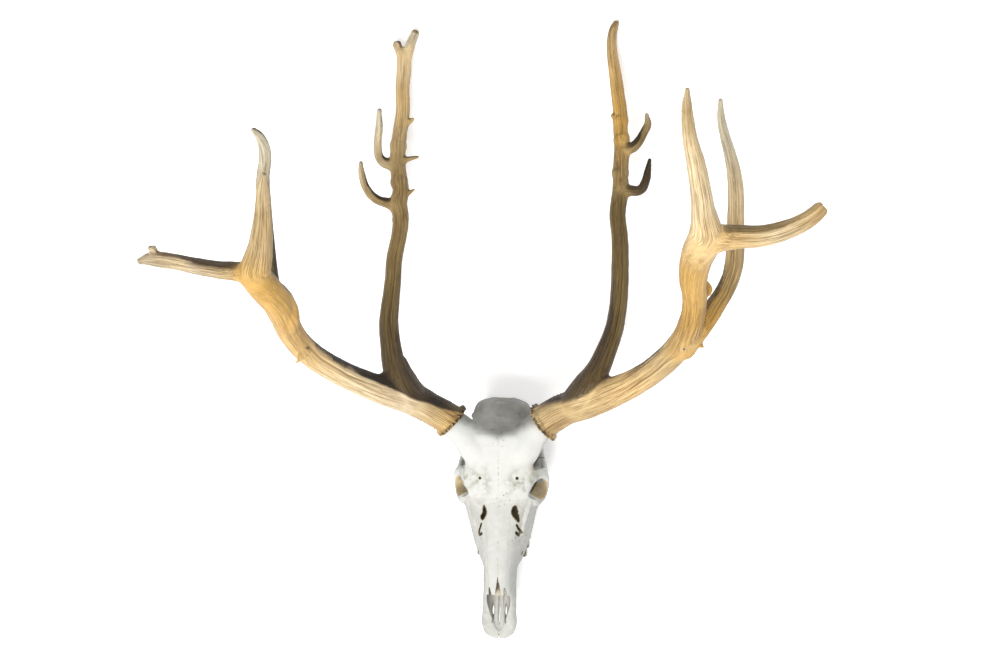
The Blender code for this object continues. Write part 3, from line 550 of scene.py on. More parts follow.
def largest(thing):
    """Drop crumbs that a cut leaves loose."""
    bm = bmesh.new()
    bm.from_mesh(thing.data)
    bm.faces.ensure_lookup_table()
    seen, best = set(), []
    for face in bm.faces:
        if face.index in seen:
            continue
        group, stack = [], [face]
        seen.add(face.index)
        while stack:
            here = stack.pop()
            group.append(here)
            for edge in here.edges:
                for other in edge.link_faces:
                    if other.index not in seen:
                        seen.add(other.index)
                        stack.append(other)
        if len(group) > len(best):
            best = group
    keep = set(f.index for f in best)
    bmesh.ops.delete(bm, geom=[f for f in bm.faces if f.index not in keep], context="FACES")
    bm.to_mesh(thing.data)
    bm.free()
    return thing


def parted(name, block):
    """Take one bone off the skull with a block; block(grow) is larger all round by grow."""
    bone = copy_of(name, skull)
    cut(bone, block(0.0), "INTERSECT")
    cut(skull, block(0.12))
    return largest(bone)


class Reading:
    """A number that changes over a surface, so that sums of masks read as plain sums."""

    def __init__(self, finish, socket):
        self.finish, self.socket = finish, socket

    def _do(self, operation, *values):
        made = self.finish.node("ShaderNodeMath", {"operation": operation}, dict(enumerate(values)))
        return Reading(self.finish, made.outputs[0])

    def __add__(self, other):
        return self._do("ADD", self, other)

    def __sub__(self, other):
        return self._do("SUBTRACT", self, other)

    def __rsub__(self, other):
        return self._do("SUBTRACT", other, self)

    def __mul__(self, other):
        return self._do("MULTIPLY", self, other)

    __radd__, __rmul__ = __add__, __mul__


class Finish:
    """One piece's material."""

    def __init__(self, name):
        self.material = bpy.data.materials.new(name)
        self.material.use_nodes = True
        self.tree = self.material.node_tree
        self.tree.nodes.clear()

    def node(self, kind, settings, values):
        made = self.tree.nodes.new(kind)
        for name, value in settings.items():
            setattr(made, name, value)
        for where, value in values.items():
            if isinstance(value, Reading):
                self.tree.links.new(value.socket, made.inputs[where])
            elif isinstance(value, bpy.types.NodeSocket):
                self.tree.links.new(value, made.inputs[where])
            else:
                made.inputs[where].default_value = value
        return made

    def number(self, name):
        """A number kept at each corner of the mesh."""
        return Reading(self, self.node("ShaderNodeAttribute", {"attribute_name": name}, {}).outputs["Fac"])

    def way(self, name, stretch=(1, 1, 1)):
        """A place to read patterns at: the piece's own, or one kept at each corner of the mesh."""
        if name == "object":
            spot = self.node("ShaderNodeTexCoord", {}, {}).outputs["Object"]
        else:
            spot = self.node("ShaderNodeAttribute", {"attribute_name": name}, {}).outputs["Vector"]
        return self.node("ShaderNodeVectorMath", {"operation": "MULTIPLY"}, {0: spot, 1: stretch}).outputs[0]

    def grain(self, spot, scale, detail=3.0, rough=0.55):
        made = self.node("ShaderNodeTexNoise", {},
                         {"Vector": spot, "Scale": scale, "Detail": detail, "Roughness": rough})
        return Reading(self, made.outputs["Fac"])

    def pores(self, spot, scale):
        made = self.node("ShaderNodeTexVoronoi", {}, {"Vector": spot, "Scale": scale})
        return Reading(self, made.outputs["Distance"])

    def band(self, value, low, high):
        """0 at low, 1 at high, smooth between."""
        made = self.node("ShaderNodeMapRange", {"interpolation_type": "SMOOTHSTEP"},
                         {"Value": value, "From Min": low, "From Max": high})
        return Reading(self, made.outputs["Result"])

    def over(self, share, under, colour):
        """Lay a colour over another by a share."""
        under = under if isinstance(under, bpy.types.NodeSocket) else (*under, 1)
        colour = colour if isinstance(colour, bpy.types.NodeSocket) else (*colour, 1)
        made = self.node("ShaderNodeMix", {"data_type": "RGBA"}, {0: share, 6: under, 7: colour})
        return made.outputs[2]

    def scaled(self, colour, by):
        """A colour made lighter or darker, part by part."""
        return self.node("ShaderNodeVectorMath", {"operation": "MULTIPLY"}, {0: colour, 1: by}).outputs[0]

    def close(self, colour, rough, relief, depth, gloss):
        """The surface itself, with its fine relief in metres."""
        bump = self.node("ShaderNodeBump", {}, {"Height": relief, "Distance": depth, "Strength": 1.0})
        skin = self.node("ShaderNodeBsdfPrincipled", {},
                         {"Base Color": colour, "Roughness": rough, "Normal": bump.outputs[0],
                          "Specular IOR Level": gloss})
        end = self.node("ShaderNodeOutputMaterial", {}, {})
        self.tree.links.new(skin.outputs[0], end.inputs["Surface"])
        return self.material


def lay_down(thing):
    """Lay a finished piece in its resting place, and keep it inside the solids' box."""
    thing.data.transform(LYING)
    spots = numbers(thing) * MM
    low, high = np.array(solid_box[0]) + 2e-5, np.array(solid_box[1]) - 2e-5
    place_at(thing, np.clip(spots, low, high) / MM)


def keep_number(thing, name, values):
    """Keep one number at each corner of a mesh, for its material to read."""
    made = thing.data.attributes.new(name, "FLOAT", "POINT")
    made.data.foreach_set("value", np.asarray(values, np.float32))


def bone_finish(name):
    """Bleached bone with fine pores: darker on the snout, tan-stained orbits, painted shade on flanks, sides,
    braincase, temple, openings and pits.
    """
    f = Finish(name)
    spot = f.way("object")
    cloud = f.grain(spot, 22.0)
    mottle = f.grain(spot, 95.0, 4.0, 0.6)
    hair = f.grain(f.way("object", (1.0, 0.12, 1.0)), 620.0, 2.0)
    pore = f.band(f.pores(spot, 520.0), 0.30, 0.05) * f.band(f.grain(spot, 40.0), 0.48, 0.66)
    colour = f.over(f.band(cloud, 0.35, 0.68), (0.60, 0.60, 0.57), (0.56, 0.575, 0.55))
    # Each layer: how much of it lies there, and its colour.
    layers = (
        # Darker grey on the snout, its tip most; on the flanks of the face this layer is painted shade.
        (f.number("cream") * (0.5 + f.band(mottle, 0.3, 0.7) * 0.5), (0.345, 0.338, 0.308)),
        (f.band(mottle, 0.52, 0.72) * 0.30, (0.58, 0.56, 0.48)),
        (f.number("stain") * f.band(mottle, 0.30, 0.66), (0.27, 0.265, 0.20)),
        (f.number("crack") * 0.30, (0.40, 0.38, 0.30)),
        # Painted shade on the braincase behind the stumps and in the temple.
        (f.number("braincase_and_temple_shade") * (0.75 + f.band(cloud, 0.30, 0.62) * 0.25), (0.185, 0.185, 0.17)),
        # Painted shade deep in the temple's slot, and a stain at the nape.
        (f.number("slot_shade_and_nape_stain") * f.band(mottle, 0.25, 0.6), (0.17, 0.16, 0.13)),
        (f.number("edge") * 0.30, (0.64, 0.57, 0.42)),
        # Painted shade on the surfaces that turn away from straight up.
        (f.number("wall") * 0.52, (0.215, 0.22, 0.225)),
        (pore * 0.45, (0.34, 0.31, 0.24)),
        (f.band(hair, 0.60, 0.74) * 0.14, (0.48, 0.46, 0.39)),
        # Tan stain in the orbits and the nose, with a painted shadow in the bay behind the right orbit.
        (f.number("socket") * (0.75 + f.band(mottle, 0.3, 0.7) * 0.25), (0.50, 0.40, 0.22)),
        # Brown, then near-black, painted shade on the walls of openings and pits and in the orbits' inner
        # corners.
        (f.band(f.number("hollow"), 0.05, 0.75), (0.24, 0.20, 0.12)),
        (f.band(f.number("hollow"), 0.75, 1.6), (0.11, 0.09, 0.055)))
    for share, tint in layers:
        colour = f.over(share, colour, tint)
    relief = f.grain(spot, 260.0, 4.0, 0.6) * 0.5 + hair * 0.35 - pore * 0.6
    return f.close(colour, f.band(mottle, 0.2, 0.8) * 0.2 + 0.55, relief, 0.0005, 0.3)


def hollow_wall_shade(places):
    """How much painted shade a place gets for lying on the wall of an opening."""
    out = np.zeros(len(places))
    for tree, walls, dark, slack in hollows:
        close = np.all((places > walls.min(0) - 2) & (places < walls.max(0) + 2), 1)
        for i in np.nonzero(close)[0]:
            gone = tree.find_nearest(places[i] * MM, 3 * MM)[3]
            if gone is not None:
                share = min(1.0, max(0.0, 1.6 - gone / MM / slack))
                if walls is nose_walls:
                    share *= 0.12 + 0.88 * float(rise(places[i][1], 74, 100))
                out[i] = max(out[i], share * dark)
    return out


def bone_marks(places, facing):
    """How much of each stain, tone and painted shade lies on each place of the skull's surface."""
    x, y, z = places.T
    wide = np.abs(x)
    wander = ripple(places, 11, 4)
    # The orbit's inner walls, within the oval that it was cut with.
    middle, radii, (_, lean, turn) = eye_hole
    socket = np.zeros(len(places))
    for sign in (-1, 1):
        deep = (places - (sign * 66, 260, 75)) @ np.array((sign * 0.905, -0.14, 0.40))
        turned = np.array(Euler([0, math.radians(sign * lean), math.radians(sign * turn)]).to_matrix())
        span = np.sqrt((((places - (sign * middle[0], *middle[1:])) @ turned / radii) ** 2).sum(1))
        socket = np.maximum(socket, rise(span, 1.10, 1.03) * rise(deep, 8, 2))
    # The orbits' inner corners by the brow get painted shade.
    past_brow = wide - np.interp(y, (250, 259, 268, 276), (49, 53.5, 58, 65)) + 2.5 * np.sign(x)
    corner = socket * rise(past_brow, 5.5, 2.5) * rise(x, -10, 10) + 0.4 * socket * rise(past_brow, 4, 0)
    # A painted shadow in the bay behind the right orbit, under the brow.
    bay_shadow = np.exp(-((x - 56) / 8) ** 2 - ((y - 291) / 10) ** 2) * rise(z, 80, 90)
    in_nose = rise(y, 66, 78) * rise(wide, 16, 11) * rise(z, 62, 58) * rise(z, 16, 20) * (y < 156)
    # Two patches on the right cheek arch are kept free of painted shade, so they show as lit patches.
    outside_lit_patches = 1 - np.maximum(np.exp(-((x - 62) / 8) ** 2 - ((y - 306) / 12) ** 2),
                           np.exp(-((x - 67) / 8) ** 2 - ((y - 284) / 7) ** 2))
    # The stain lies in a band across the brow and along the bases of the jaws.
    brow_band = np.exp(-((y - 268) / 20) ** 2) * rise(z, 84, 100) * rise(wide, 0, 24)
    jaw_base = rise(z, 30, 8) * rise(y, 100, 150)
    # Painted shade lies behind the stumps and in the hollow of the temple.
    behind = rise(y - 0.42 * wide, 330, 349)
    temple = rise(y, 287, 296) * rise(62 - wide, -2, 3) * rise(z, 104, 96) * rise(wide, 26, 34) * outside_lit_patches
    nape_spot = 0.9 * np.exp(-((x - 30) ** 2 + (y - 378) ** 2) / 90)
    nape_mottle = 0.4 * rise(ripple(places, 9, 14), 0.15, 0.6)
    # Darker grey on the snout, its tip most, and painted shade on the flanks of the face, the right more than
    # the left.
    snout, tip = rise(y, 252, 225), rise(y, 110, 50)
    flank_shade = rise(wide - 4 * np.sign(x), 13, 30) * rise(y, 250, 230)
    return {
        "crack": np.exp(-(near(places, lines, 4.0) / 0.8) ** 2),
        "stain": (0.30 + 0.7 * rise(wander, -0.35, 0.35)) * brow_band + 0.5 * jaw_base,
        # Painted shade on surfaces that turn away from straight up, outside the orbits and the lit patches.
        "wall": rise(facing[:, 2], 0.60, 0.04) * rise(z, 4, 9) * outside_lit_patches * (1 - socket),
        "cream": 0.42 * snout + 0.20 * tip + 0.38 * flank_shade,
        "braincase_and_temple_shade": np.maximum(behind * (0.92 + 0.08 * wander), 0.75 * temple),
        "slot_shade_and_nape_stain": np.maximum(0.9 * temple * rise(wide, 38, 46) * rise(z, 100, 90),
                             behind * np.maximum(nape_spot, nape_mottle)),
        # The orbits' tan stain, a little in the nose, and the painted shadow in the bay behind the right
        # orbit.
        "socket": np.maximum(np.maximum(socket, 0.30 * in_nose), 0.35 * bay_shadow),
        # Painted shade on the walls of openings and pits, and in the orbits' inner corners.
        "hollow": np.maximum(hollow_wall_shade(places), 1.3 * corner)}


def sharpness(thing):
    """How sharp the sharpest edge at each corner of a mesh is."""
    bm = bmesh.new()
    bm.from_mesh(thing.data)
    rim = np.zeros(len(bm.verts))
    for v in bm.verts:
        rim[v.index] = max((e.calc_face_angle(0) for e in v.link_edges), default=0)
    bm.free()
    return rise(rim, 0.5, 1.2)


def set_down(bone, node, finish):
    """Mark and colour a finished bone, lay it in its resting place, and let it stand for its node."""
    for name, values in bone_marks(numbers(bone), numbers(bone, "normal")).items():
        keep_number(bone, name, values)
    keep_number(bone, "edge", sharpness(bone))
    lay_down(bone)
    bone.data.materials.clear()
    bone.data.materials.append(finish)
    only(bone)
    bpy.ops.object.shade_smooth_by_angle(angle=math.radians(50))
    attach(bone, "root")
    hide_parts(node)


cheek_middle = (74, 269, 52)
cheek_size = (33, 74, 62)
for sign, side in ((-1, "left"), (1, "right")):
    def cheek(grow, sign=sign):
        bpy.ops.mesh.primitive_cube_add(size=1)
        made = bpy.context.object
        place = Vector((sign * cheek_middle[0], *cheek_middle[1:])) * MM
        size = (Vector(cheek_size) + Vector((1, 1, 1)) * 2 * grow) * MM
        made.data.transform(Matrix.LocRotScale(place, None, size))
        return made
    set_down(parted("cheek_" + side, cheek), "cheekbone_" + side, bone_finish("cheek_bone_" + side))

# ---------------------------------------------------------------- nasal bones
# Two long thin bones roof the nose and end in front in two points each side of a notch.
roof = eased([(row[0], row[1][1]) for row in CORE], 6)
nasal_edge = eased(((76, 9), (84, 12.5), (92, 14), (106, 15), (135, 16), (165, 17), (196, 19), (218, 18),
                    (230, 14), (240, 5)), 10)


def wavy_block(at, facing, grow, wander=0.8, size=4.5):
    """A block with one wandering face through a point: it fills the side that facing points to."""
    facing = Vector(facing).normalized()
    first = facing.orthogonal().normalized() if abs(facing.x) > 0.9 else Vector((1, 0, 0))
    second = facing.cross(first)
    rings = []
    reach = range(-260, 261, 2)
    for u in reach:
        ring = []
        for v in reach:
            spot = Vector(at) + first * u + second * v
            sway = wander * noise.noise(spot / size) + 0.5 * wander * noise.noise(spot / 1.9)
            ring.append(spot - facing * (grow + sway))
        far = Vector(at) + first * u + facing * 600
        ring += [far + second * 260, far - second * 260]
        rings.append(ring)
    return skinned("block", rings)


def halves(thing, name):
    """Part a bone along the skull's middle."""
    right_half = copy_of(name + "_right", thing)
    cut(right_half, wavy_block((0.6, 200, 60), (-1, 0, 0), 0.03, 0.5))
    cut(thing, wavy_block((0.6, 200, 60), (1, 0, 0), 0.03, 0.5))
    thing.name = name + "_left"
    return largest(thing), largest(right_half)


def nasal_strip(grow):
    """The strip of the face's roof that the two nasal bones take up."""
    rings = []
    for y, half_width in nasal_edge:
        low = np.interp(y, roof[:, 0], roof[:, 1]) - 9 - grow
        wide = [half_width + grow + 0.5 * noise.noise((s * 7, y / 3.5, 0)) for s in (-1, 1)]
        rings.append([(-wide[0], y, low), (wide[1], y, low), (wide[1], y, low + 30), (-wide[0], y, low + 30)])
    rings[0] = [(x, y - grow, z) for x, y, z in rings[0]]
    rings[-1] = [(x, y + grow, z) for x, y, z in rings[-1]]
    return skinned("nasal_strip", rings)


for bone, side in zip(halves(parted("nasal", nasal_strip), "nasal"), ("left", "right")):
    set_down(bone, "nasal_bone_" + side, bone_finish("nasal_bone_" + side))


# ---------------------------------------------------------------- premaxillae
# The front of the snout: two thin prongs that meet at the tip, with long slots in the palate between them.
# A slanting suture parts them from the jaws behind.
def seam(front, base, ahead):
    """A wandering cut right across the skull, through a front and a base point (y, z) of its middle."""
    (y0, z0), (y1, z1) = front, base
    facing = Vector((0, z0 - z1, y1 - y0)).normalized()
    facing = -facing if (facing.y < 0) != ahead else facing
    return lambda grow: wavy_block((0, y0, z0), facing, grow)


for bone, side in zip(halves(parted("snout", seam((104, 66), (60, 5), True)), "snout"), ("left", "right")):
    set_down(bone, "premaxilla_" + side, bone_finish("snout_bone_" + side))

# ---------------------------------------------------------------- upper jaws with their teeth
# Each upper jaw holds six cheek teeth, three narrow ones in front and three two-lobed ones behind.  They
# stand so close that each touches the next.
teeth = ((36, 145.6, 13, 14), (39, 159.8, 14, 14.6), (40, 174.6, 15.4, 15), (40.8, 191.6, 16.5, 19.4),
         (41.4, 211.4, 17.5, 20.6), (41, 231.6, 16.5, 20.4))
# A tooth's height over the chewing plane, and how wide it is there.
tooth_profile = ((20, 0.80), (16, 0.88), (12, 0.94), (8, 0.98), (5, 1.0), (3, 1.0), (1.6, 0.98), (0.7, 0.93))
# The chewing face, from its rim inwards: share of the rim's width, and height.
worn_face = ((0.86, 0.25), (0.72, 1.5), (0.58, 0.5), (0.42, 0.35), (0.28, 1.7), (0.12, 2.1))


def cheek_tooth(sign, number, x, y, width, length):
    """One tooth: a lobed column that narrows towards its root, with worn ridges on its chewing face."""
    lobes = 2 if number > 2 else 1
    rings = []
    for z, shrink in tooth_profile:
        ring = []
        for i in range(48):
            a = 2 * math.pi * i / 48
            c, s = math.cos(a), math.sin(a)
            u = math.copysign(abs(c) ** 0.7, c) * width / 2
            v = math.copysign(abs(s) ** 0.7, s) * length / 2
            waist = 1 - (0.17 if lobes == 2 else 0.05) * math.exp(-(v / (0.13 * length)) ** 2) * abs(c)
            rib = 1 + 0.03 * math.cos(6 * math.pi * v / length) * max(0.0, c * sign)
            ring.append((sign * x + u * waist * rib * shrink, y + v * shrink, z))
        rings.append(ring)
    rim = rings[-1]
    for share, z in worn_face:
        rings.append([(sign * x + (px - sign * x) * share, y + (py - y) * (0.5 + 0.5 * share), z)
                      for px, py, _ in rim])
    return skinned("tooth", rings)


f = Finish("tooth_enamel")
worn = f.grain(f.way("object"), 300.0, 3.0)
colour = f.over(f.band(f.number("root"), 0.1, 0.8), (0.50, 0.49, 0.44), (0.22, 0.19, 0.14))
# Painted shade at the gum line, where the root goes into the jaw.
gum_line_shade = f.band(f.number("root"), 0.86, 0.98) * f.band(worn, 0.40, 0.55)
colour = f.over(gum_line_shade, colour, (0.07, 0.055, 0.035))
# Painted shade at the ends of each tooth, where it touches the next.
colour = f.over(f.number("between"), colour, (0.04, 0.032, 0.02))
colour = f.over(f.band(worn, 0.5, 0.75) * 0.6, colour, (0.30, 0.22, 0.12))
enamel = f.close(colour, 0.34, worn, 0.0003, 0.5)
jaws = halves(parted("upper_jaw", seam((238, 108), (262, 28), True)), "upper_jaw")
for bone, side, sign in zip(jaws, ("left", "right"), (-1, 1)):
    set_down(bone, "maxilla_with_teeth_" + side, bone_finish("upper_jaw_bone_" + side))
    row = []
    for number, (x, y, width, length) in enumerate(teeth):
        tooth = cheek_tooth(sign, number, x - 1.5 * (sign < 0), y, width, length)
        spots = numbers(tooth)
        keep_number(tooth, "root", rise(spots[:, 2], 4, 15))
        # The ends of each tooth, where it touches the next, take painted shade.
        keep_number(tooth, "between", rise(np.abs(spots[:, 1] - y), length * 0.31, length * 0.43))
        lay_down(tooth)
        tooth.data.materials.append(enamel)
        only(tooth)
        bpy.ops.object.shade_smooth_by_angle(angle=math.radians(50))
        row.append(tooth)
    only(bone)
    for tooth in row:
        tooth.select_set(True)
    bpy.ops.object.join()


# ---------------------------------------------------------------- braincase
# The rounded rear of the skull, one body with the neck joint's two knobs, the ear capsules and the two
# hanging processes that the skull lies on.  It is what is left behind the forehead's slanting suture.
crown_edge = ((290, 33), (345, 33), (353, 40), (362, 48), (372, 58), (384, 80), (420, 90))


def crown(grow):
    """The block that takes the braincase off: wide below, and up to the crown's edge above."""
    rings = []
    for y, half_width in eased(crown_edge, 8):
        top, low = half_width + grow, 95 + grow
        right_side = [(95, y, -10), (95, y, low), (top, y, low), (top, y, 180)]
        rings.append([(-x, y, z) for x, y, z in right_side[::-1]] + right_side)
    behind = skinned("crown", rings)
    return cut(behind, seam((356, 130), (300, 40), False)(grow), "INTERSECT")


set_down(parted("back_of_skull", crown), "braincase", bone_finish("back_of_skull_bone"))

# ---------------------------------------------------------------- frontal bones
# The forehead's two halves, which rise into the stumps that the antlers grow from.  They are what is left
# of the skull when every other bone has been taken off it, parted along its middle.
for bone, side in zip(halves(skull, "forehead"), ("left", "right")):
    set_down(bone, "frontal_bone_" + side, bone_finish("forehead_bone_" + side))


# ---------------------------------------------------------------- the antler on the viewer's left
# Antler is dead bone that grew in one season: grooves of blood vessels run up it, pearls stud its foot, and
# a ring of knobs, the burr, closes it off.  This one has a broken, forked outer prong, two side snags and
# three thorns on its hind tine, and a patch chipped off its beam.
# Each branch from foot to tip: (x, y, z, radius).
left_branches = {
    "stem": ((-61, 350, 122, 24), (-73, 361, 126, 25.5), (-107, 382, 138, 25), (-144, 399, 157, 24.5),
        (-179, 410, 183, 23), (-212, 424, 216, 21), (-244, 442, 257, 19.5), (-275, 466, 302, 19.5),
        (-293, 494, 350, 19.5), (-298, 523, 400, 21), (-300, 543, 444, 22.5), (-311, 563, 484, 23),
        (-320, 579, 508, 23)),
    "upper": ((-320, 579, 508, 23), (-312, 594, 527, 21.5), (-302, 615, 552, 18), (-295, 635, 577, 15.5),
        (-289, 657, 602, 12.5), (-284, 679, 625, 10.5), (-281, 695, 642, 8.3), (-277, 709, 656, 4)),
    "outer": ((-320, 579, 508, 23), (-340, 582, 508, 15.5), (-371, 584, 513, 13), (-401, 588, 516, 12.4),
        (-431, 593, 516, 11.8), (-458, 596, 514, 11.6), (-473, 596, 512, 9), (-485, 593, 510, 5.5)),
    "back": ((-281, 468, 298, 18), (-300, 492, 306, 17), (-319, 522, 316, 16), (-332, 555, 324, 15.3),
        (-338, 590, 331, 14.8), (-341, 621, 337, 14.3), (-343, 658, 346, 13.2), (-342, 694, 362, 11.6),
        (-338, 725, 388, 10.4), (-329, 753, 418, 9.5), (-326, 769, 446, 8.4), (-327, 780, 474, 6.3),
        (-329, 785, 500, 4)),
    "hind": ((-140, 399, 158, 25), (-154, 421, 168, 25), (-164, 446, 173, 20), (-171, 475, 171, 17),
        (-177, 517, 167, 15.6), (-176, 549, 163, 14.3), (-174, 583, 159, 13.2), (-173, 621, 155, 12.8),
        (-167, 658, 152, 12.6), (-166, 685, 150, 13.2), (-170, 709, 149, 14), (-168, 730, 148, 13.2),
        (-174, 767, 145, 13), (-175, 796, 143, 12.4), (-173, 824, 141, 11.9), (-170, 854, 139, 11.3),
        (-172, 896, 136, 11.3), (-171, 929, 134, 12), (-172, 944, 133, 11.5)),
    "hind_fork_a": ((-170, 940, 133, 10.4), (-164, 958, 132, 8.4), (-159, 974, 130.4, 7.2),
        (-156, 982, 129.8, 7)),
    "hind_fork_b": ((-174, 944, 133, 9.6), (-181, 957, 131.5, 7.4), (-184, 964, 130.5, 7.4)),
    "snag_low": ((-173, 704, 148, 11), (-187, 708, 152, 8.8), (-207, 715, 160, 7.5), (-220, 730, 167, 6.6),
        (-227, 752, 173, 5.6), (-229, 769, 176, 3.6)),
    "snag_high": ((-175, 770, 144, 11), (-189, 771, 147, 9.4), (-202, 779, 154, 7.6), (-205, 798, 161, 6.8),
        (-203, 826, 167, 6.2), (-203, 853, 171, 4.2)),
}
# What grows beside the branches: the outer prong's stub, thorns, a point under the beam, small bumps.
left_extras = (
    ((-456, 596, 514, 9.5), (-464, 605, 517, 7.4), (-466, 611, 519, 6.6)),
    ((-166, 722, 148, 7), (-154, 726, 149, 4.4), (-146, 731, 149, 2.4)),
    ((-170, 776, 145, 7), (-155, 780, 147, 4.6), (-142, 783, 148, 2.4)),
    ((-166, 836, 140, 7), (-157, 841, 141, 4.6), (-153, 844, 141, 3)),
    ((-277, 470, 338, 9), (-283, 458, 343, 4.6), (-287, 452, 345, 2.2)),
    ((-292, 507, 385, 15), (-288, 522, 405, 15.5), (-290, 538, 425, 16), (-296, 552, 448, 16),
     (-305, 563, 470, 15)),
    ((-152, 410, 160, 24), (-165, 421, 172, 22), (-175, 430, 184, 14), (-181, 429, 192, 9)),
    ((-114, 394, 140, 18), (-130, 410, 150, 14), (-146, 432, 160, 14), (-158, 455, 168, 13)),
    ((-176, 512, 170, 12), (-189, 512, 172, 3.4)),
    ((-172, 741, 149, 9), (-183, 742, 150, 3)),
    ((-172, 700, 149, 10), (-183, 698, 150, 3)),
    ((-170, 684, 150, 9), (-178, 682, 150, 3)),
    ((-175, 799, 143, 14), (-175, 802, 143, 13.6)),
    ((-171, 742, 147, 14.8), (-171, 745, 147, 14.4)))
# What is broken off or worn in: (centre, radii).
left_breaks = (
    ((-466, 617, 522), (8, 5, 7)), ((-492, 590, 508), (6, 7, 7)), ((-475, 607, 521), (5, 6, 7)),
    ((-320, 531, 446), (5, 6, 8)), ((-319, 519, 428), (4, 5, 6)), ((-316, 507, 410), (5, 4, 7)),
    ((-311, 496, 392), (4, 4, 6)), ((-323, 524, 436), (4, 3, 5)), ((-186, 971, 131), (5, 3.4, 5)))
# The tones of weathered antler, in hundredths of the light that falls on it.
antler_tones = {
    "bleached": (90, 82, 60), "cream": (88, 70, 42), "straw": (78, 54, 24), "fawn": (62, 50, 33),
    "buff": (58, 42, 20), "honey": (60, 36, 9), "dun": (38, 26, 10), "umber": (19, 13, 4),
    "earth": (8, 5, 2), "soot": (3, 2, 1)}
# Where each branch has them: (share of its length, tone of its light side, tone of its dark side, how much of
# its girth is dark, in hundredths).  The dark side is the one turned from the key light: stain and painted
# shade.
left_colours = {
    "stem": ((0, "honey", "umber", 42), (0.1, "buff", "soot", 46), (0.2, "fawn", "soot", 42),
             (0.4, "cream", "soot", 22), (0.6, "straw", "soot", 18), (0.8, "honey", "earth", 15),
             (1, "honey", "earth", 14)),
    "upper": ((0, "honey", "earth", 20), (0.35, "buff", "soot", 22), (0.7, "buff", "soot", 20),
              (1, "cream", "umber", 20)),
    "outer": ((0, "honey", "dun", 25), (0.2, "buff", "earth", 38), (0.5, "fawn", "earth", 36),
              (0.6, "cream", "earth", 22), (1, "fawn", "dun", 20)),
    "back": ((0, "dun", "soot", 30), (0.3, "umber", "soot", 35), (0.5, "umber", "soot", 35),
             (0.65, "fawn", "earth", 30), (0.8, "bleached", "earth", 25), (1, "bleached", "earth", 30)),
    "hind": ((0, "earth", "earth", 23), (0.3, "umber", "soot", 23), (0.55, "dun", "soot", 23),
             (0.65, "dun", "earth", 21), (0.75, "buff", "earth", 20), (0.88, "straw", "umber", 18),
             (1, "cream", "honey", 16)),
    "hind_fork_a": ((0, "straw", "dun", 25), (1, "bleached", "dun", 32)),
    "hind_fork_b": ((0, "straw", "dun", 25), (1, "cream", "earth", 32)),
    "snag_low": ((0, "dun", "earth", 35), (0.5, "buff", "soot", 30), (1, "cream", "earth", 30)),
    "snag_high": ((0, "umber", "earth", 30), (0.4, "cream", "soot", 30), (1, "bleached", "earth", 30)),
}
# The ridge of the beam near its foot, as distances out and back, and how softly the dark tone behind it
# begins.
left_ridge = ((50, 88, 105, 126, 154, 182, 206, 240), (376, 384, 391, 397, 410, 422, 433, 450), 2)
# Where the antler is parted, (middle of the cut, the way it faces, its radius), and a place in each piece.
left_partings = (((-167, 456, 173), (-0.22, 1.0, 0.0), 33),
    ((-192, 415, 196), (-0.74, 0.3, 0.6), 40),
    ((-322, 537, 320), (-0.42, 1.0, 0.25), 28),
    ((-307, 603, 536), (0.32, 0.55, 0.8), 30),
    ((-350, 583, 510), (-1.0, 0.05, 0.15), 26))
left_pieces = {"antler_base": (-107, 382, 138), "front_beam": (-275, 466, 302), "hind_tine": (-173, 621, 155),
    "back_branch": (-343, 658, 346), "upper_prong": (-289, 657, 602), "outer_prong": (-431, 593, 516)}


def followed(branches):
    """Dense points down the middle of each branch, with a frame that doesn't twist."""
    out = {}
    for name, stations in branches.items():
        line = eased(stations, 8)
        middle, radius = line[:, :3], line[:, 3]
        ahead = np.gradient(middle, axis=0)
        ahead /= np.linalg.norm(ahead, axis=1)[:, None]
        side = np.cross(ahead[0], (0.0, 0.0, 1.0))
        sides = []
        for a in ahead:
            side = side - a * np.dot(side, a)
            side = side / np.linalg.norm(side)
            sides.append(side)
        sides = np.array(sides)
        gone = np.concatenate([[0], np.cumsum(np.linalg.norm(np.diff(middle, axis=0), axis=1))])
        start, best = 0.0, 1e9                  # how far up the antler this branch leaves an earlier one
        for parent, *_, parent_gone, parent_start in out.values():
            apart = np.linalg.norm(parent - middle[0], axis=1)
            if apart.min() < best:
                best, start = apart.min(), parent_start + parent_gone[np.argmin(apart)]
        out[name] = (middle, radius, sides, np.cross(ahead, sides), gone, start)
    return out


def read_branches(places, lines_of):
    """For each branch: how near it is to each place, the share of its length there, and its grain there."""
    found = []
    for name, (middle, radius, sides, others, gone, start) in lines_of.items():
        reach = radius.max() + 16
        close = np.full(len(places), 99.0)
        share = np.zeros(len(places))
        grain = np.zeros((len(places), 3))
        inside = np.nonzero(np.all((places > middle.min(0) - reach) & (places < middle.max(0) + reach), 1))[0]
        for first in range(0, len(inside), 6000):
            rows = inside[first:first + 6000]
            apart = places[rows][:, None, :] - middle[None]
            span = np.sqrt((apart ** 2).sum(2))
            best = np.argmin(span - radius, 1)
            pick = np.arange(len(rows))
            close[rows] = (span - radius)[pick, best]
            off = apart[pick, best]
            along = gone[best] + (off * np.cross(sides[best], others[best])).sum(1)
            u, v = (off * sides[best]).sum(1), (off * others[best]).sum(1)
            size = np.hypot(u, v) + 1e-6
            share[rows] = np.clip(along / gone[-1], 0, 1)
            grain[rows] = np.stack([u / size * 20, v / size * 20, along + start], 1)
        found.append((name, close, share, grain))
    return found


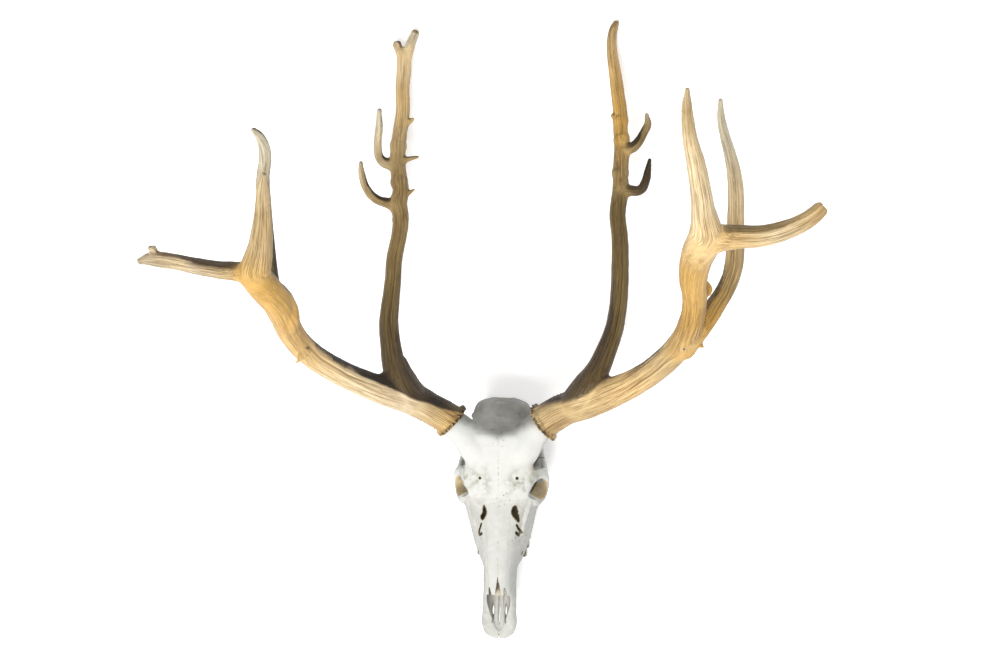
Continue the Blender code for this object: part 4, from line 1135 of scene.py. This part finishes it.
def antler_finish(name):
    """Weathered antler: its tone kept along each branch, with pale ridges, brown grooves, and painted shade
    on its sides and in its burr's crevices.
    """
    f = Finish(name)
    spot = f.way("object")
    tone = f.node("ShaderNodeAttribute", {"attribute_name": "tone"}, {}).outputs["Color"]
    straight = 1 - f.number("fork") * 0.8
    streak = f.grain(f.way("grain", (1.0, 1.0, 0.016)), 0.42, 2.5, 0.55)
    thread = f.grain(f.way("grain", (1.0, 1.0, 0.012)), 1.05, 2.0, 0.6)
    line = f.grain(f.way("grain", (1.0, 1.0, 0.014)), 0.32, 1.5, 0.5)
    hairline = f.grain(f.way("grain", (1.0, 1.0, 0.012)), 0.78, 1.5, 0.5)
    cloud = f.grain(spot, 34.0, 3.0)
    patch = f.grain(f.way("grain", (1.0, 1.0, 0.25)), 0.11, 2.0)
    speck = f.grain(spot, 300.0, 3.0, 0.65)
    vessel = f.band(line, 0.462, 0.50) * f.band(line, 0.538, 0.50) * f.band(patch, 0.36, 0.54) * straight
    fine_vessel = f.band(hairline, 0.45, 0.50) * f.band(hairline, 0.55, 0.50)
    fine_vessel = fine_vessel * f.band(patch, 0.66, 0.46) * straight
    # Each layer: how much of it lies there, and what it makes of the tone.
    layers = (
        (f.band(cloud, 0.38, 0.66) * 0.5, (0.80, 0.76, 0.70)),
        (f.band(streak, 0.50, 0.66) * straight * 0.62, (1.20, 1.28, 1.42)),
        (f.band(streak, 0.46, 0.34) * straight * 0.60, (0.60, 0.50, 0.40)),
        (f.band(thread, 0.55, 0.68) * straight * 0.35, (1.26, 1.36, 1.55)),
        (f.band(thread, 0.46, 0.34) * straight * 0.55, (0.50, 0.41, 0.32)),
        (vessel * 0.70, (0.36, 0.27, 0.19)),
        (fine_vessel * 0.60, (0.42, 0.32, 0.24)),
        (f.number("groove") * 0.45, (0.34, 0.26, 0.19)),
        (f.band(speck, 0.57, 0.72) * 0.30, (0.5, 0.45, 0.4)),
        # Painted shade on the sides that turn away from straight up.
        (f.number("painted_side_shade") * 0.45, (0.34, 0.29, 0.24)))
    colour = tone
    for share, tint in layers:
        colour = f.over(share, colour, f.scaled(tone, tint))
    # Near-black painted shade in the crevices between the burr's knobs.
    colour = f.over(f.number("knob") * (0.7 + f.band(speck, 0.25, 0.55) * 0.3), colour, (0.045, 0.030, 0.016))
    hole = f.band(f.pores(spot, 420.0), 0.32, 0.12)
    colour = f.over(f.number("broken") * 0.8, colour, (0.50, 0.42, 0.31))
    colour = f.over(f.number("broken") * hole, colour, (0.10, 0.07, 0.04))
    relief = (streak * 0.7 + thread * 0.4 + speck * 0.25 - vessel * 0.8 - fine_vessel * 0.4
              - f.number("broken") * hole)
    return f.close(colour, f.band(streak, 0.3, 0.7) * -0.12 + 0.56, relief, 0.0009, 0.35)


def burr_knobs(sign):
    """The ring of uneven knobs round the foot of an antler."""
    centre, facing, radius, lip = burr[sign]
    first = facing.orthogonal().normalized()
    count = 30
    knobs = []
    for i in range(count):
        angle = 2 * math.pi * (i + 0.4 * math.sin(5.3 * i)) / count
        out = math.cos(angle) * first + math.sin(angle) * facing.cross(first)
        size = lip * (0.48 + 0.80 * abs(math.sin(2.7 * i)))
        ahead = size * 0.8 + 0.7 + 0.7 * math.sin(3.3 * i)
        spot = Vector(centre) + out * (radius + 0.6 * math.sin(4.1 * i)) + facing * ahead
        knobs.append(lump(spot, (size, size, size * 0.85), segments=16))
    return knobs


def chipped(antler, breaks):
    """Break chips off an antler, and keep each break's ragged wall."""
    walls = []
    for spot, radii in breaks:
        tool = lump(spot, radii)
        ball = numbers(tool)
        place_at(tool, ball + numbers(tool, "normal") * (ripple(ball, 3.0, 4) * 1.6)[:, None])
        walls.append((walls_of(tool), spot, radii))
        cut(antler, tool)
    return walls


def brokenness(places, walls):
    """1 on the wall of a break, 0 away from it."""
    out = np.zeros(len(places))
    for tree, spot, radii in walls:
        for i in np.nonzero(np.linalg.norm(places - spot, axis=1) < max(radii) * 1.5 + 2)[0]:
            gone = tree.find_nearest(places[i] * MM, 2 * MM)[3]
            if gone is not None:
                out[i] = max(out[i], min(1, 1.6 - gone / MM / 0.8))
    return out


def antler_marks(places, normal, lines_of, colours, ridge, sign):
    """What lies on an antler at each place, and how far it pushes the surface out, mm."""
    found = read_branches(places, lines_of)
    nearest, second = np.sort([close for _, close, *_ in found], 0)[:2]
    share = np.array([np.exp(-(close - nearest) / 4) for _, close, *_ in found])
    # Behind the beam's ridge near its foot, only the hind tine's tones show; before it, none of them.
    beyond = places[:, 1] - np.interp(np.abs(places[:, 0]), *ridge[:2]) + 0.9 * ripple(places, 13, 12)
    by_foot = rise(np.abs(places[:, 0]), 240, 195)
    above = rise(beyond, -ridge[2], ridge[2])
    share[list(lines_of).index("hind")] *= 1e-3 + np.maximum(above, 1 - by_foot)
    share /= share.sum(0)
    # The side turned away from the key light takes each branch's dark tone: stain and painted shade together.
    away = np.array((-0.35 * sign, 0.90, 0.15))
    turned_away = (normal @ (away / np.linalg.norm(away)) + 0.16 * ripple(places, 22, 7)
                   + 0.08 * ripple(places, 5, 8))
    grain, tone = np.zeros((len(places), 3)), np.zeros((len(places), 3))
    for (name, _, along, spots), part in zip(found, share):
        rows = [[*antler_tones[lit], *antler_tones[shaded], cover] for _, lit, shaded, cover in colours[name]]
        stops = [row[0] for row in colours[name]]
        tones = np.stack([np.interp(along, stops, column) for column in np.array(rows).T / 100], 1)
        dark = rise(turned_away - (1 - 2 * tones[:, 6]), -0.12, 0.22)
        # Near the foot, the beam's dark tone lies behind its ridge: stain and painted shade together.
        if name == "stem":
            dark = dark * (1 - by_foot) + above * by_foot
        tone += (part * (1 - dark))[:, None] * tones[:, :3] + (part * dark)[:, None] * tones[:, 3:6]
        grain += part[:, None] * spots
    # The grain calms down at forks and where the beam broadens below its last fork.
    palm = share[0] * rise(found[0][2], 0.62, 0.80)
    fork = np.maximum(np.exp(-(second - nearest) / 6), 0.55 * palm)
    centre, facing = burr[sign][:2]
    foot = (places - np.array(centre)) @ np.array(facing)
    knob = rise(foot, 8.5, 4.5)
    thread = grain * (1, 1, 0.035)
    groove = rise(np.abs(ripple(thread, 7.0, 3)), 0.20, 0.03) * rise(ripple(thread, 15, 5), -0.25, 0.25)
    groove = groove * (1 - knob) * (1 - 0.8 * fork)
    crest = by_foot * np.exp(-((beyond + 1) / 2.5) ** 2) * rise(normal[:, 2], 0.2, 0.6) * (4 / (2 + ridge[2]))
    pearl = np.array([noise.voronoi(p)[0][0] for p in (places / 4.6).tolist()])
    studs = rise(foot, 170, 20) * rise(ripple(places, 28, 6), -0.25, 0.4) * (1 - knob)
    push = (0.40 * ripple(places, 15) + 0.16 * ripple(places, 5, 2)
            + 0.40 * ripple(thread, 6, 11) * (1 - fork) - 0.70 * groove
            + 1.3 * studs * rise(pearl, 0.45, 0.05) + knob * (1.3 - 2.9 * rise(pearl, 0.15, 0.60))
            + 1.1 * crest)
    # The burr's crevices and the sides that turn away from straight up are marked for painted shade.
    return {"groove": groove, "knob": knob * rise(pearl, 0.26, 0.52), "fork": fork,
            "painted_side_shade": rise(normal[:, 2], 0.40, -0.05), "grain": grain, "tone": tone}, push


def keep_marks(piece, marks, rows):
    """Keep the marks of an antler's surface at the corners of a piece that was cut from it."""
    for name, values in marks.items():
        if name == "grain":
            made = piece.data.attributes.new(name, "FLOAT_VECTOR", "POINT")
            made.data.foreach_set("vector", values[rows].astype(np.float32).ravel())
        elif name == "tone":
            made = piece.data.attributes.new(name, "FLOAT_COLOR", "POINT")
            colour = np.hstack([values[rows], np.ones((len(rows), 1))])
            made.data.foreach_set("color", colour.astype(np.float32).ravel())
        else:
            keep_number(piece, name, values[rows])


def make_antler(sign, branches, extras, breaks, colours, ridge, partings, pieces, side):
    """Grow one antler from its branches, mark it, part it at its forks, and lay its pieces down."""
    grow = []
    for stations in [*branches.values(), *extras]:
        grow += bar(stations)
    antler = grown(joined("antler", grow + burr_knobs(sign)), 1.5, 3)
    lines_of = followed(branches)
    nearest, second = np.sort([close for _, close, *_ in read_branches(numbers(antler), lines_of)], 0)[:2]
    soften(antler, np.exp(-(second - nearest) / 7), 45)
    walls = chipped(antler, breaks)
    places, normal = numbers(antler), numbers(antler, "normal")
    marks, push = antler_marks(places, normal, lines_of, colours, ridge, sign)
    marks["broken"] = brokenness(places, walls)
    place_at(antler, places + normal * push[:, None])
    whole = kdtree.KDTree(len(places))
    for i, p in enumerate(numbers(antler)):
        whole.insert(p, i)
    whole.balance()
    centre, facing = Vector(burr[sign][0]), burr[sign][1]
    cut(antler, slab(centre - facing * saw / 2, facing, 60, saw))
    for spot, way, width in partings:
        cut(antler, slab(spot, way, width, 0.1, 24))
    only(antler)
    bpy.ops.object.mode_set(mode="EDIT")
    bpy.ops.mesh.separate(type="LOOSE")
    bpy.ops.object.mode_set(mode="OBJECT")
    loose = list(bpy.context.selected_objects)

    def reach(piece, spot):
        """How far a loose piece's surface is from a spot; crumbs don't count."""
        spot = Vector(spot) * MM
        return (piece.closest_point_on_mesh(spot)[1] - spot).length if len(piece.data.vertices) > 200 else 9

    for name, spot in pieces.items():
        piece = min(loose, key=lambda thing: reach(thing, spot))
        loose.remove(piece)
        short = name.replace("antler_base", "antler_foot").replace("_tine", "").replace("_prong", "")
        piece.name = short + "_of_" + side
        keep_marks(piece, marks, [whole.find(p)[1] for p in numbers(piece)])
        lay_down(piece)
        piece.data.materials.clear()
        piece.data.materials.append(antler_finish(piece.name + "_antler"))
        only(piece)
        bpy.ops.object.shade_smooth_by_angle(angle=math.radians(55))
        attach(piece, "root")
        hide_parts(name + "_" + side)
    for crumb in loose:
        bpy.data.objects.remove(crumb, do_unlink=True)


make_antler(-1, left_branches, left_extras, left_breaks, left_colours, left_ridge, left_partings, left_pieces,
            "left")

# ---------------------------------------------------------------- the antler on the viewer's right
# The longer of the two, with a hooked spur on its beam, a stout outer prong whose end has broken off, a
# hind tine that runs to its point, two snags, and three rings where that tine grew in steps.
right_branches = {
    "stem": ((54, 355, 122, 25.5), (67, 365, 126, 27), (104, 389, 139, 26), (142, 402, 156, 25),
        (181, 420, 181, 23.5), (218, 439, 213, 21), (255, 466, 255, 20), (285, 498, 296, 20),
        (300, 531, 337, 18.5), (305, 566, 378, 18), (302, 595, 417, 20.5), (306, 623, 455, 23.5),
        (317, 647, 492, 25.5)),
    "upper": ((317, 647, 492, 25), (317, 665, 520, 21.5), (313, 684, 545, 17.2), (310, 703, 566, 15),
        (306, 723, 588, 14), (300, 748, 612, 12.6), (293, 772, 634, 10.5), (289, 795, 653, 8.7),
        (287, 817, 668, 6.9), (287, 833, 676.5, 3.8)),
    "outer": ((317, 647, 492, 25), (340, 650, 500, 19.5), (368, 652, 505, 16.8), (397, 654, 508, 15.3),
        (428, 663, 508, 14.1), (451, 674, 506, 12.8), (466, 685, 504, 12.2), (473, 692, 503, 11.6)),
    "back": ((290, 495, 293, 20), (300, 509, 299, 19), (314, 527, 302, 17.9), (328, 546, 305, 16),
        (341, 567, 309, 14.6), (352, 588, 313, 14), (360, 615, 319, 14.1), (362, 644, 327, 13.9),
        (361, 682, 340, 12.9), (360, 718, 357, 12.1), (357, 745, 375, 10.9), (350, 772, 398, 9.2),
        (341, 798, 428, 7.6), (334, 821, 462, 6), (332, 842, 494, 3.6)),
    "hind": ((125, 403, 158, 25), (144, 429, 168, 25), (158, 456, 174, 19), (169, 485, 171, 16.4),
        (180, 519, 167, 14.8), (184, 546, 163, 14.2), (186, 578, 160, 14.1), (186, 616, 156, 13.9),
        (184, 660, 153, 13.4), (179, 703, 150, 13.3), (182, 738, 148, 13.4), (181, 774, 146, 12.7),
        (182, 804, 143, 12.9), (179, 830, 141, 11.8), (177, 862, 139, 11.5), (172, 894, 137, 10.9),
        (166, 930, 135, 10), (161, 958, 133, 8.7), (160, 982, 132, 7.6), (163, 998, 131.4, 6.6),
        (166, 1005, 131, 5)),
    "snag_low": ((181, 738, 148, 11), (197, 738, 152, 9.1), (213, 739, 158, 7.9), (221, 751, 164, 6.9),
        (225, 770, 169, 5.5), (227, 785, 172, 3.2)),
    "snag_high": ((180, 803, 143, 10.4), (196, 805, 148, 9.1), (207, 814, 154, 7.7), (216, 829, 160, 6.6),
        (222, 842, 165, 6), (220, 856, 169, 3.2)),
}
right_extras = (
    ((304, 590, 392, 10), (314, 591, 388, 6.5), (322, 587, 384, 4.6), (327, 580, 382, 3.6),
     (325.5, 573, 383, 2.4)),
    ((150, 412, 160, 24), (164, 424, 172, 22), (174, 432, 182, 15), (184, 431, 195, 9)),
    ((112, 400, 140, 19), (130, 415, 150, 14), (148, 436, 160, 12)),
    ((178, 826, 141, 8), (171.5, 827, 142, 3)),
    ((181, 771, 146, 9), (173.5, 771, 147, 3)),
    ((304, 505, 300, 12), (313, 500, 300, 6), (319.5, 496.5, 300, 2.4)),
    ((306, 557, 354, 10), (315, 553, 352, 4.6), (320.5, 551.5, 350, 2.6)),
    ((176, 709, 150, 9), (170, 705, 151, 4.2)),
    ((181, 818, 142, 13.8), (181, 821, 142, 13.4)),
    ((181, 765, 146, 14.2), (181, 768, 146, 13.8)),
    ((178, 848, 140, 12.9), (178, 851, 140, 12.6)),
    ((172, 855, 141, 8), (165.5, 856, 143, 3.4)))
right_breaks = (
    ((482, 701, 504), (7, 9, 9)), ((315, 572, 374), (4, 7, 6)), ((319, 561, 362), (4, 5, 6)),
    ((317, 540, 344), (3, 5, 5)), ((291, 494, 318), (2.6, 3, 4)))
right_colours = {
    "stem": ((0, "buff", "earth", 45), (0.1, "buff", "soot", 46), (0.2, "buff", "soot", 38),
             (0.35, "straw", "soot", 22), (0.5, "buff", "soot", 15), (0.7, "honey", "earth", 12),
             (0.9, "honey", "umber", 12), (1, "buff", "umber", 12)),
    "upper": ((0, "straw", "honey", 15), (0.3, "cream", "umber", 15), (0.65, "cream", "earth", 15),
              (0.9, "buff", "earth", 20), (1, "cream", "dun", 10)),
    "outer": ((0, "straw", "dun", 28), (0.3, "straw", "umber", 32), (0.6, "cream", "dun", 30),
              (1, "straw", "buff", 20)),
    "back": ((0, "honey", "earth", 25), (0.15, "honey", "umber", 25), (0.26, "dun", "earth", 30),
             (0.4, "buff", "earth", 30), (0.62, "cream", "umber", 25), (0.83, "bleached", "dun", 25),
             (1, "bleached", "fawn", 20)),
    "hind": ((0, "earth", "earth", 35), (0.26, "umber", "earth", 35), (0.53, "umber", "umber", 33),
             (0.62, "dun", "umber", 30), (0.7, "honey", "umber", 28), (0.78, "honey", "umber", 26),
             (0.95, "straw", "dun", 28), (1, "buff", "dun", 40)),
    "snag_low": ((0, "dun", "earth", 30), (0.45, "earth", "earth", 38), (1, "earth", "soot", 40)),
    "snag_high": ((0, "buff", "earth", 45), (0.5, "umber", "soot", 50), (0.8, "dun", "soot", 30),
                  (1, "fawn", "fawn", 25)),
}
right_ridge = ((50, 94, 139, 165, 180, 224, 240), (390, 400, 418, 436, 444, 470, 478), 7)
right_partings = (((159, 463, 173), (0.36, 1.0, 0.0), 33),
    ((194, 426, 191), (0.76, 0.35, 0.55), 38),
    ((320, 535, 303), (0.55, 0.8, 0.12), 27),
    ((316, 674, 531), (-0.1, 0.6, 0.82), 32),
    ((350, 651, 502), (1.0, 0.1, 0.22), 27))
right_pieces = {"antler_base": (104, 389, 139), "front_beam": (285, 498, 296), "hind_tine": (186, 616, 156),
    "back_branch": (361, 682, 340), "upper_prong": (306, 723, 588), "outer_prong": (428, 663, 508)}
make_antler(1, right_branches, right_extras, right_breaks, right_colours, right_ridge, right_partings,
            right_pieces, "right")
